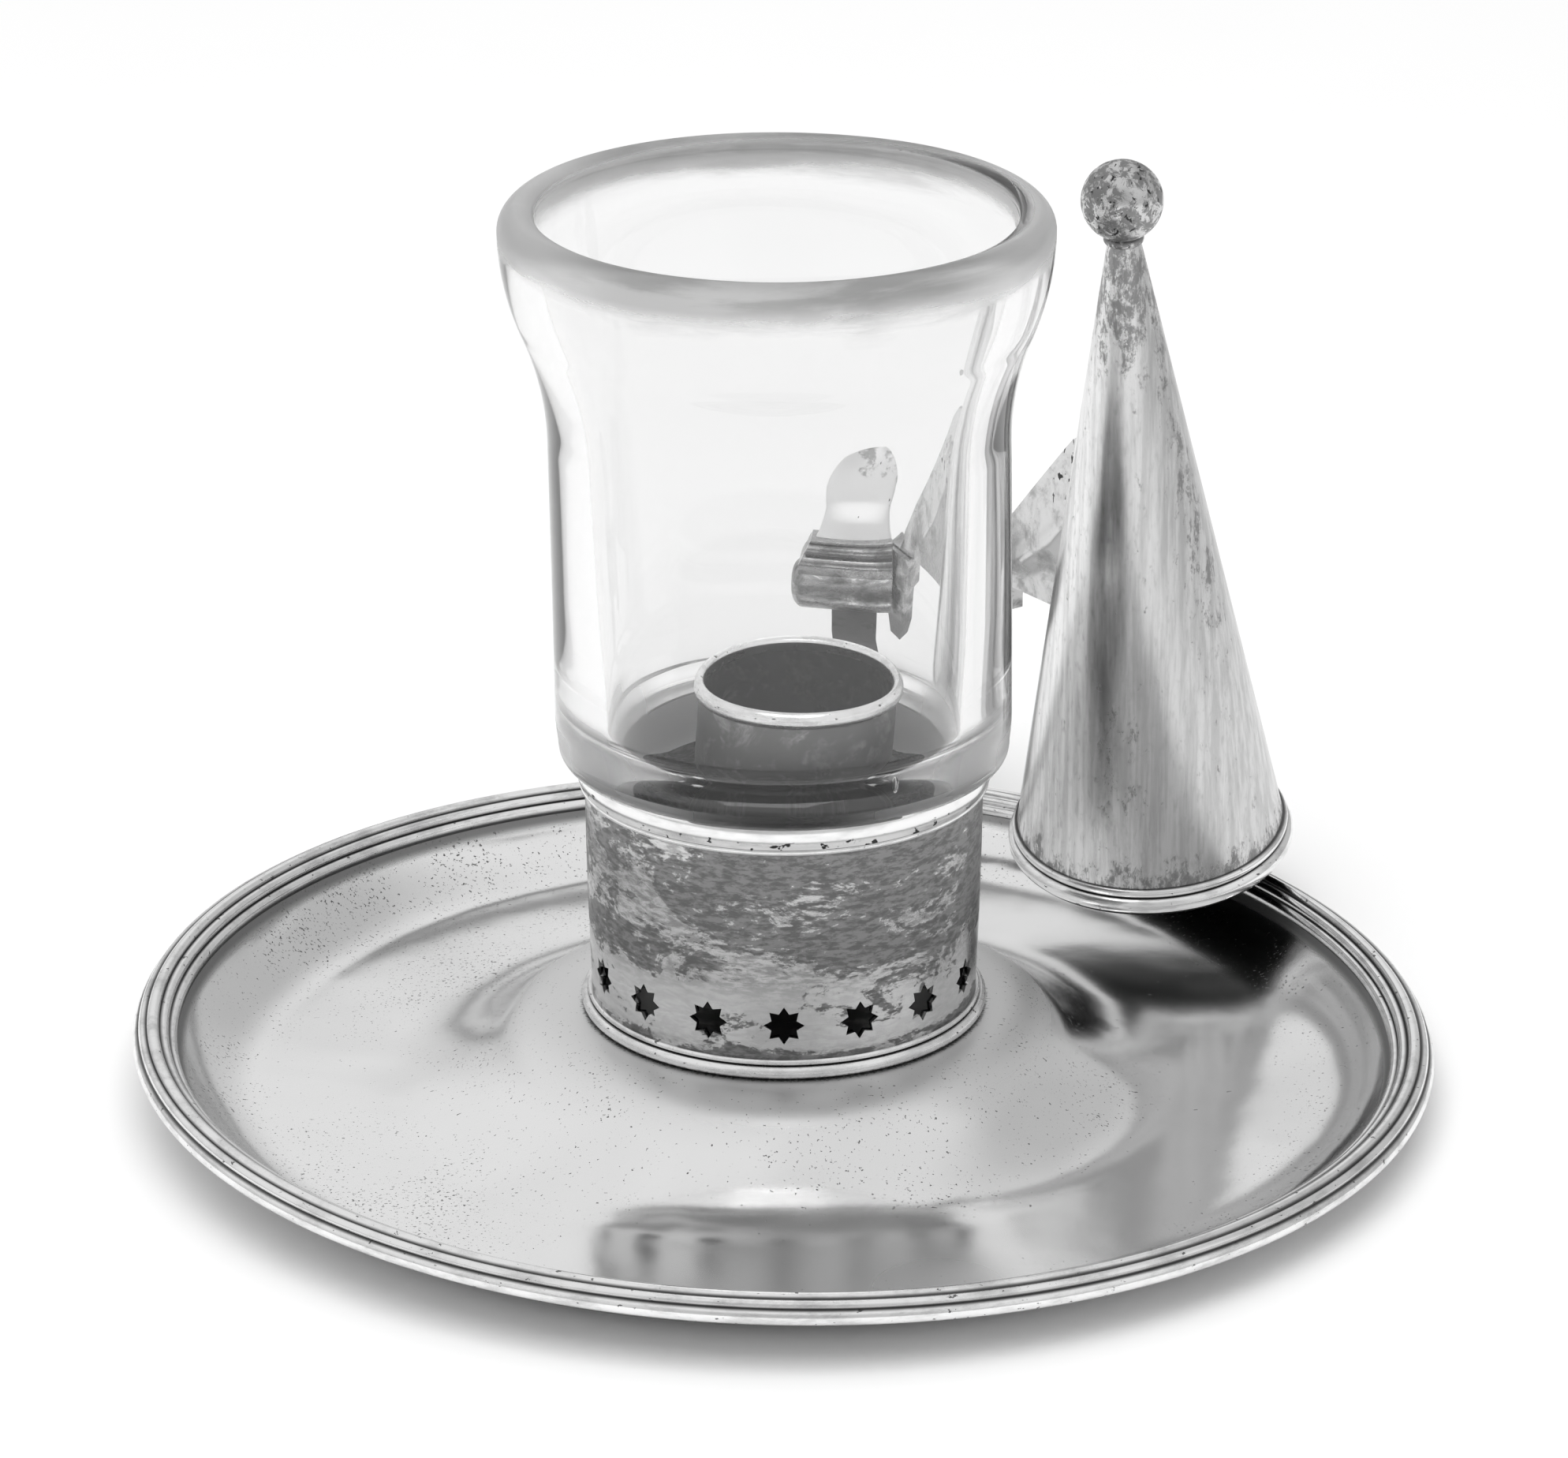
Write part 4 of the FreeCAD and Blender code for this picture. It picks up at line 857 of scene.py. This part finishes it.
def pan_path():
    """Pan sheet from the boss's middle out to the wall's top edge and back underneath, as an
    open path, and the point under the wall's edge.

    The boss's side and the wall are arcs of turn 2 atan(rise / width), radius width / sin turn.
    """
    sheet, boss_top, flat, skirt = 0.9, 10.4, 24.4, 47.0
    edge, edge_height = 70.9, 6.4
    shoulder_share = 0.38
    boss_turn = 2.0 * atan((boss_top - sheet) / (skirt - flat))
    ogee = (skirt - flat) / sin(boss_turn)
    high, low = ogee * shoulder_share, ogee * (1.0 - shoulder_share)
    knee = (flat + high * sin(boss_turn), boss_top - high * (1.0 - cos(boss_turn)))
    under_knee = (knee[0] - sheet * sin(boss_turn), knee[1] - sheet * cos(boss_turn))
    wall_turn = 2.0 * atan((edge_height - sheet) / (edge - FLOOR_END))
    wall = (edge - FLOOR_END) / sin(wall_turn)
    under_edge = (edge + sheet * sin(wall_turn), edge_height - sheet * cos(wall_turn))
    shoulder, foot = (flat, boss_top), (skirt, sheet)
    under_foot, under_shoulder = (skirt, 0.0), (flat, boss_top - sheet)
    return outline([
        (0.0, boss_top),
        (*shoulder, bulge_of(shoulder, knee, high, -1)),
        (*knee, bulge_of(knee, foot, low, 1)),
        foot,
        (FLOOR_END, sheet, bulge_of((FLOOR_END, sheet), (edge, edge_height), wall, 1)),
        (edge, edge_height),
        (*under_edge, bulge_of(under_edge, (FLOOR_END, 0.0), wall + sheet, -1)),
        (FLOOR_END, 0.0),
        (*under_foot, bulge_of(under_foot, under_knee, low + sheet, -1)),
        (*under_knee, bulge_of(under_knee, under_shoulder, high - sheet, 1)),
        under_shoulder,
        (0.0, boss_top - sheet),
    ], 0.8, closed=False), under_edge


def rim_path(under_edge):
    """Five round reeds on a flat underside."""
    grooves = [(70.9, 6.4, -0.31), (71.82, 7.55, -0.33), (72.87, 8.35, -0.385),
               (74.39, 8.5, -0.335), (75.3, 7.8, -0.375)]
    return outline(grooves + [(75.3, under_edge[1]), under_edge], 0.12)


def drooped(points, droop):
    """Wall and rim bent down to the right: the height loses tan(droop) times x, more and more
    from the floor's edge to the rim, and not at all beside the loop."""
    rim, loop_width = 74.0, radians(16.0)
    across, out = points[..., 0], points[..., 1]
    from_loop = np.arctan2(across, out) + radians(HANDLE_TURN)
    hold = 1.0 - np.exp(-(from_loop / loop_width) ** 2)
    points = points.copy()
    points[..., 2] -= (tan(droop) * points[..., 0] * hold
                       * smooth_step(np.hypot(across, out), FLOOR_END, rim))
    return points


class CHAMBERSTICK_OT_pan(Operator):
    """Raises the pan sheet and its reeded rim"""

    bl_idname = "chamberstick.pan"
    bl_label = "Pan and rim"

    def execute(self, context):
        droop = context.scene.chamberstick_pan.droop
        path, under_edge = pan_path()
        sheet = drooped(turned(path, PAN_COLUMNS), droop)
        piece("pan_sheet", "stand", "pan", skin(sheet, poles=True), ["drip_pan"])
        reeds = drooped(turned(rim_path(under_edge), PAN_COLUMNS), droop)
        piece("rim_reeds", "stand", "rim", skin(reeds), ["reeded_rim"])
        return {"FINISHED"}


class ChamberstickShade(PropertyGroup):
    """Sizes of the glass shade."""

    unevenness: number_setting(
        "Unevenness", "How far the old glass strays from a true round, in mm", 0.05, 0.0, 0.2)
    glass_lean: number_setting(
        "Glass lean", "How far the glass's lip stands off to the left, in mm", 0.8, 0.0, 1.5)
    socket_lean: number_setting(
        "Socket lean", "How far the socket's mouth is bent to the right, in mm", 1.65, 0.0, 2.0)


# Glass: the level it leans from, its crown's and its lip corner's, and the barrel's radius.
GLASS_SEAT, GLASS_TOP, LIP_HEIGHT, BARREL = 42.0, 106.8, 104.0, 26.27

# Socket: the levels between which it leans.
SOCKET_FOOT, SOCKET_MOUTH = 26.0, 49.5


def shade_path():
    """Closed outline of the shade: foot, hip, barrel, flare, lip, and back down the bore.

    Flare and bore are each two arcs, one after the other, that meet in a shared tangent; the
    bore's lower arc also runs on into its slight taper.
    """
    foot, seat = (21.7, 36.2), (21.7, 41.7)
    hip_start, hip, barrel = (25.1, 41.7), (25.95, 43.4), (BARREL, 47.5)
    flare_rise, flare_width, flare_share = 24.5, 4.95, 0.46
    flare_start = (BARREL, LIP_HEIGHT - flare_rise)
    flare_radius = (flare_width ** 2 + flare_rise ** 2) / (2.0 * flare_width)
    high, low = flare_radius * flare_share, flare_radius * (1.0 - flare_share)
    lip = (BARREL + flare_width, LIP_HEIGHT)
    join = (lip[0] - flare_width * flare_share, LIP_HEIGHT - flare_rise * flare_share)
    crown, edge, mouth = (lip[0] - 1.92, GLASS_TOP), (27.5, 106.3), (27.15, 105.3)
    taper, bore_rise, bore_share = radians(2.06), 26.8, 0.453
    bore = 21.87
    bore_start = (bore, mouth[1] - bore_rise)
    width = mouth[0] - bore
    bore_high = bore_share * (width ** 2 + bore_rise ** 2) / (2.0 * width)
    span = bore_high - width
    dot = span * cos(taper) + bore_rise * sin(taper)
    bore_low = (span ** 2 + bore_rise ** 2 - bore_high ** 2) / (2.0 * (bore_high - dot))
    share = bore_high / (bore_high + bore_low)
    bore_join = (mouth[0] - bore_high + share * (span + bore_low * cos(taper)),
                 mouth[1] - share * (bore_rise + bore_low * sin(taper)))
    waist_height = 48.5
    waist = (bore - (bore_start[1] - waist_height) * tan(taper), waist_height)
    knee = (waist[0] - 0.59, 45.9)
    neck = (knee[0] - 0.75, 42.5)
    return outline([
        (neck[0] - 0.15, 36.2),
        foot,
        seat,
        (*hip_start, 0.165),
        (*hip, 0.02),
        barrel,
        (*flare_start, bulge_of(flare_start, join, low, -1)),
        (*join, bulge_of(join, lip, high, 1)),
        (*lip, 0.169),
        (*crown, 0.07),
        (*edge, 0.229),
        (*mouth, bulge_of(mouth, bore_join, bore_high, -1)),
        (*bore_join, bulge_of(bore_join, bore_start, bore_low, 1)),
        bore_start,
        (*waist, -0.0474),
        (*knee, 0.0488),
        neck,
    ], 0.5)


# Waves of the glass: how many go round it, mm of height for each radian, start and share.
GLASS_WAVES = ((3.0, 17.0, 0.0, 1.0), (5.0, -11.0, 1.0, 0.7), (8.0, 23.0, 2.0, 0.5))


def uneven(points, amount):
    """Radius changed by slow waves round and up the glass: a sum of three sines of the angle
    and the height, nothing at the seat."""
    angle = np.arctan2(points[..., 1], points[..., 0])
    height = points[..., 2]
    wave = sum(share * np.sin(count * angle + height / pitch + start)
               for count, pitch, start, share in GLASS_WAVES)
    barrel, full, mean_radius = 48.0, 60.0, 26.0
    change = amount * wave * smooth_step(height, barrel, full)
    return swelled(points, 1.0 + change / mean_radius)


def bent(points, shift, low, high):
    """Places carried along X by the shift at the high level, less below it in proportion,
    nothing under the low level, and a tenth more at most above the high one."""
    points = points.copy()
    points[..., 0] += shift * np.clip((points[..., 2] - low) / (high - low), 0.0, 1.1)
    return points


def bubble_skin():
    """Small upright egg of air in the foot's wall, its faces turned into the egg."""
    half_width, half_height, middle = 0.42, 1.0, (12.0, -20.9, 45.95)
    turn = np.linspace(-pi / 2.0, pi / 2.0, 17)
    path = np.stack([half_width * np.cos(turn), half_height * np.sin(turn)], axis=-1)
    path[[0, -1], 0] = 0.0
    points, faces = skin(turned(path, 24), poles=True)
    points = points + np.array(middle)
    return points, (faces[:, ::-1] if enclosed(points, faces) > 0.0 else faces)


# Socket pieces: name, finish, section as radius, height and bulge, and the part it stands for.
SOCKET_PIECES = (
    ("socket_tube", "socket", [(11.0, 26.0), (11.55, 26.0), (11.55, 49.5), (11.0, 49.5)],
     "candle_socket"),
    ("socket_lip", "wire", [(11.0, 49.5), (11.0, 50.3, -0.194), (11.62, 51.1, -0.159),
                            (12.2, 50.1, -0.149), (11.75, 49.1), (11.55, 49.1),
                            (11.55, 49.5)], "socket_rim"),
)


class CHAMBERSTICK_OT_shade(Operator):
    """Blows the glass shade, with one small bubble in its foot, round the candle socket"""

    bl_idname = "chamberstick.shade"
    bl_label = "Glass shade and socket"

    def execute(self, context):
        settings = context.scene.chamberstick_shade
        shell = uneven(turned(shade_path(), SHADE_COLUMNS), settings.unevenness)
        shell = bent(shell, -settings.glass_lean, GLASS_SEAT, GLASS_TOP)
        piece("shade", "glass", "glass", together(skin(shell), bubble_skin()), ["glass_shade"])
        for name, finish, path, part in SOCKET_PIECES:
            ring = turned(outline(path, 0.1), SOCKET_COLUMNS)
            ring = bent(ring, settings.socket_lean, SOCKET_FOOT, SOCKET_MOUTH)
            piece(name, "stand", finish, skin(ring), [part])
        return {"FINISHED"}


class ChamberstickExtinguisher(PropertyGroup):
    """Sizes of the extinguisher."""

    dent: number_setting("Dents", "Depth of the cone's shallow dents, in mm", 0.16, 0.0, 0.3)
    lap: number_setting("Lap", "Step of the soldered lap down the cone, in mm", 0.1, 0.0, 0.3)


def cone_path():
    """Cone sheet from the middle of its inner cap down inside, round the edge and up outside."""
    skin_width, cap = 0.61, 1.6
    cap_bore = CONE_NECK + CONE_SLOPE * cap - skin_width
    return outline([
        (0.0, CONE_LENGTH - cap),
        (cap_bore, CONE_LENGTH - cap),
        (CONE_EDGE - skin_width, -CONE_DROP),
        (CONE_EDGE, -CONE_DROP),
        (CONE_NECK, CONE_LENGTH),
        (0.0, CONE_LENGTH),
    ], 0.9, closed=False)


# Dents: angle round the cone in degrees, height and spread in mm, share of the depth.
CONE_DENTS = ((-96, 26, 9, 6, 0.8), (-78, 14, 14, 7, 1.0), (-112, 48, 8, 14, 0.7),
              (-60, 34, 10, 12, 0.6), (-130, 20, 12, 10, 0.8), (-85, 62, 10, 9, 0.5),
              (60, 30, 14, 12, 0.8), (140, 45, 12, 16, 0.7), (100, 18, 16, 8, 0.6))
LAP_ANGLE, LAP_WIDTH = -38.0, 16.0

# Wires on the cone's side: name, part, lower and upper level, stand-off and bulge.
CONE_WIRES = (
    ("edge_wire", "extinguisher_base_bead", -CONE_DROP, 1.25, 0.12, 0.313),
    ("upper_wire", "extinguisher_upper_bead", 1.25, 2.4, 0.1, 0.354),
)


def worn_cone(points, dent, lap):
    """Radius less a few soft hollows, each a bell in the angle and the height, plus the lap:
    a step at one angle that dies away over its width.  Both fade out near the edge and neck."""
    angle = np.degrees(np.arctan2(points[..., 1], points[..., 0]))
    height = points[..., 2]
    change = np.zeros_like(height)
    for place, level, wide, tall, share in CONE_DENTS:
        off = (angle - place + 180.0) % 360.0 - 180.0
        change -= dent * share * np.exp(-(off / wide) ** 2 - ((height - level) / tall) ** 2)
    past = (angle - LAP_ANGLE) % 360.0
    change += lap * np.maximum(1.0 - past / LAP_WIDTH, 0.0)
    change *= smooth_step(height, 2.5, 7.0) * smooth_step(CONE_LENGTH - height, 0.5, 6.0)
    radius = np.maximum(np.hypot(points[..., 0], points[..., 1]), 0.001)
    return swelled(points, 1.0 + change / radius * (radius > 1.0))


def wire_path(low, high, off, bulge):
    """Section of a half-round wire that lies on the cone's side from one level to another."""
    below, above = [CONE_EDGE - CONE_SLOPE * (CONE_DROP + level) for level in (low, high)]
    return outline([(below, low), (below + off, low, bulge), (above + off, high), (above, high)],
                   0.12)


def ball_path():
    """Circle from the ball's seat on the collar up to its crown."""
    radius, seat_share, seat_height = 4.85, 0.42, CONE_LENGTH + 1.0
    seat = radius * seat_share
    middle = seat_height + sqrt(radius ** 2 - seat ** 2)
    turn = np.linspace(-acos(seat_share), pi / 2.0, 60)
    arc = np.stack([radius * np.cos(turn), middle + radius * np.sin(turn)], axis=-1)
    return np.concatenate([[[0.0, seat_height]], arc])


class CHAMBERSTICK_OT_extinguisher(Operator):
    """Rolls the cone with its lap and dents, its wires, and the ball on its collar"""

    bl_idname = "chamberstick.extinguisher"
    bl_label = "Extinguisher"

    def execute(self, context):
        settings = context.scene.chamberstick_extinguisher
        sheet = worn_cone(turned(cone_path(), CONE_COLUMNS), settings.dent, settings.lap)
        piece("cone_sheet", "extinguisher", "cone", skin(lean(sheet), poles=True),
              ["extinguisher_cone"])
        for name, part, *section in CONE_WIRES:
            wire = skin(lean(turned(wire_path(*section), WIRE_COLUMNS)))
            piece(name, "extinguisher", "hem", wire, [part])
        ball = skin(lean(turned(ball_path(), BALL_COLUMNS)), poles=True)
        piece("ball", "extinguisher", "ball", ball, ["ball_finial"])
        return {"FINISHED"}


class ChamberstickHandle(PropertyGroup):
    """Sizes of the thumbpiece and the bracket's wing."""

    thumb_length: number_setting(
        "Thumb length", "Length of the thumbpiece up its slope, in mm", 14.4, 12.0, 15.0)
    thumb_hollow: number_setting(
        "Thumb hollow", "How far the thumbpiece is dished, in mm", 0.5, 0.0, 0.6)
    wing_fold: number_setting(
        "Wing fold", "Height of the fold in the bracket's wing, in mm", 0.9, 0.0, 1.2)


def on_bracket(points):
    """Points of the bracket's frame, along, across and up, set at the slot."""
    return turn_z(points, BRACKET_TURN, BRACKET_FOOT)


# Edges of the leaf from just below the plinth's top to its tip, each corner as across, up and
# the bulge of the next run.
THUMB_ROOT, THUMB_TIP = -0.3, 13.1
THUMB_LEFT = ((-6.4, THUMB_ROOT), (-6.4, 0.0, 0.09), (-4.7, 3.6, -0.033), (-5.0, 6.9, 0.05),
              (-4.7, 7.8, -0.068), (-1.9, 11.6, -0.0515), (3.6, THUMB_TIP))
THUMB_RIGHT = ((9.3, THUMB_ROOT), (9.3, 0.0, -0.09), (8.4, 3.6, 0.033), (9.3, 7.8, 0.0755),
               (6.4, 12.6, 0.149), (3.6, THUMB_TIP))


def level_cut(corners, heights):
    """Across places of one edge of the leaf at given heights up it."""
    edge = outline(corners, 0.1, closed=False)
    return np.interp(heights, edge[:, 1], edge[:, 0])


def thumb_points(length, hollow):
    """Leaf as a flat ring carried up its middle, the rows crowding toward the tip.

    Across = middle + half cos t; the sheet's half thickness is 0.6 mm times the 0.6 power of
    sin t, less toward the tip; it is pushed back by the hollow times (1 - cos^2 t), and a small
    bell rolls it forward below the tip.
    """
    rows, ring, half_sheet = 90, 72, 0.6
    heights = THUMB_ROOT + (length - THUMB_ROOT) * np.sin(np.linspace(0.0, pi / 2.0, rows))
    on_leaf = heights * THUMB_TIP / length
    left, right = level_cut(THUMB_LEFT, on_leaf), level_cut(THUMB_RIGHT, on_leaf)
    turn = np.arange(ring) * (2.0 * pi / ring)
    middle, half = 0.5 * (left + right)[:, None], 0.5 * (right - left)[:, None]
    across = middle + half * np.cos(turn)
    up = heights[:, None] + 0.0 * across
    thick = half_sheet * np.sign(np.sin(turn)) * np.abs(np.sin(turn)) ** 0.6
    thick = thick * (0.75 + 0.25 * smooth_step(length - up, 0.0, 3.0))
    dish = hollow * (1.0 - np.cos(turn) ** 2) * smooth_step(up, 1.5, 5.0)
    roll = 0.35 * np.exp(-((across + 1.0) / 3.0) ** 2 - ((up - length + 1.1) / 1.6) ** 2)
    return np.stack([across, thick + dish - roll, up], axis=-1)


def thumb_place(points):
    """Leaf tipped out over the loop from the plinth's top and carried to its place."""
    lean_back, plinth_out, plinth_top = radians(25.0), 75.0, 38.8
    across, out, up = points[..., 0], points[..., 1], points[..., 2]
    return turn_z(np.stack([
        across,
        plinth_out + out * cos(lean_back) + up * sin(lean_back),
        plinth_top - out * sin(lean_back) + up * cos(lean_back)], axis=-1), HANDLE_TURN)


def cone_reach(height, across):
    """How far along the bracket's frame the cone's surface stands at a height: bisection of
    radius(along) - cone radius over whole arrays."""
    axis = np.array(Vector(CONE_WAY).normalized())
    low, high = np.full_like(height, 5.0), np.full_like(height, 31.0)
    for _ in range(40):
        middle = 0.5 * (low + high)
        points = on_bracket(np.stack([middle, across, height], axis=-1)) - np.array(CONE_FOOT)
        up = points @ axis
        gap = np.linalg.norm(points - up[..., None] * axis, axis=-1)
        inside = gap < CONE_EDGE - CONE_SLOPE * (up + CONE_DROP)
        high = np.where(inside, middle, high)
        low = np.where(inside, low, middle)
    return 0.5 * (low + high)


# Wing: its lower level, where it starts along the bracket, and the corners of its upper edge.
WING_FOOT, WING_START = 37.82, -5.3
WING_EDGE = ((-5.6, WING_FOOT, 0.109), (-4.1, 40.3), (13.7, 60.5), (16.8, 62.4))


def wing_points(fold):
    """Wing sheet as a ring of two faces: rows run from the tongue to the cone, columns up one
    face and down the other; the sheet is pushed across by a soft diagonal fold and turns flat
    against the cone at its end."""
    rows, columns, half_sheet = 80, 70, 0.5
    share = np.linspace(0.0, 1.0, rows)[:, None]
    rising = np.linspace(0.0, 1.0, columns)
    lift = np.concatenate([rising, rising[::-1]])[None, :]
    side = np.repeat([-half_sheet, half_sheet], columns)[None, :]
    upper = outline(WING_EDGE, 0.2, closed=False)
    low_end = cone_reach(np.array([WING_FOOT]), np.array([0.0]))[0]
    along = WING_START + share * (low_end - WING_START)
    for _ in range(3):
        top = np.interp(np.minimum(along, WING_EDGE[-1][0]), upper[:, 0], upper[:, 1])
        height = WING_FOOT + lift * (top - WING_FOOT)
        reach = cone_reach(height, side + 0.0 * height)
        along = WING_START + share * (reach - WING_START)
    width = smooth_step(share, 0.15, 0.5) * smooth_step(1.0 - share, 0.03, 0.3)
    crease = np.exp(-((lift - 0.12 - 0.5 * share) / 0.13) ** 2)
    belly = np.sin(pi * lift)
    across = side - fold * width * (crease * 0.7 + 0.5 * belly)
    return np.stack([along, across, height], axis=-1)


class CHAMBERSTICK_OT_handle(Operator):
    """Forges the thumbpiece and folds the wing that carries the cone"""

    bl_idname = "chamberstick.handle"
    bl_label = "Thumbpiece and wing"

    def execute(self, context):
        settings = context.scene.chamberstick_handle
        leaf = thumb_place(thumb_points(settings.thumb_length, settings.thumb_hollow))
        piece("thumb_leaf", "stand", "thumb", capped(leaf), ["thumbpiece"], SHARP_SHEET)
        wing = on_bracket(wing_points(settings.wing_fold))
        piece("wing_fold", "extinguisher", "wing", capped(wing), ["bracket_wing"], SHARP_SHEET)
        return {"FINISHED"}


STEPS = (CHAMBERSTICK_OT_stage, CHAMBERSTICK_OT_finishes, CHAMBERSTICK_OT_pan,
         CHAMBERSTICK_OT_shade, CHAMBERSTICK_OT_extinguisher, CHAMBERSTICK_OT_handle)
GROUPS = (("chamberstick_stage", ChamberstickStage), ("chamberstick_finish", ChamberstickFinish),
          ("chamberstick_pan", ChamberstickPan), ("chamberstick_shade", ChamberstickShade),
          ("chamberstick_extinguisher", ChamberstickExtinguisher),
          ("chamberstick_handle", ChamberstickHandle))


class CHAMBERSTICK_PT_steps(Panel):
    """Lists the steps that dress the chamberstick"""

    bl_idname = "CHAMBERSTICK_PT_steps"
    bl_label = "Chamberstick"
    bl_space_type = "VIEW_3D"
    bl_region_type = "UI"
    bl_category = "Chamberstick"

    def draw(self, context):
        for step in STEPS:
            self.layout.operator(step.bl_idname)
        for name, group in GROUPS:
            settings = getattr(context.scene, name)
            column = self.layout.column()
            for setting in group.__annotations__:
                column.prop(settings, setting)


def register():
    """Registers the settings, the steps and the panel."""
    for name, group in GROUPS:
        bpy.utils.register_class(group)
        setattr(bpy.types.Scene, name, PointerProperty(type=group))
    for step in (*STEPS, CHAMBERSTICK_PT_steps):
        bpy.utils.register_class(step)


def unregister():
    """Takes them away again."""
    for step in (CHAMBERSTICK_PT_steps, *reversed(STEPS)):
        bpy.utils.unregister_class(step)
    for name, group in reversed(GROUPS):
        delattr(bpy.types.Scene, name)
        bpy.utils.unregister_class(group)


def main():
    """Runs every step in order."""
    register()
    for step in STEPS:
        group, action = step.bl_idname.split(".")
        getattr(getattr(bpy.ops, group), action)()


if __name__ == "__main__":
    main()
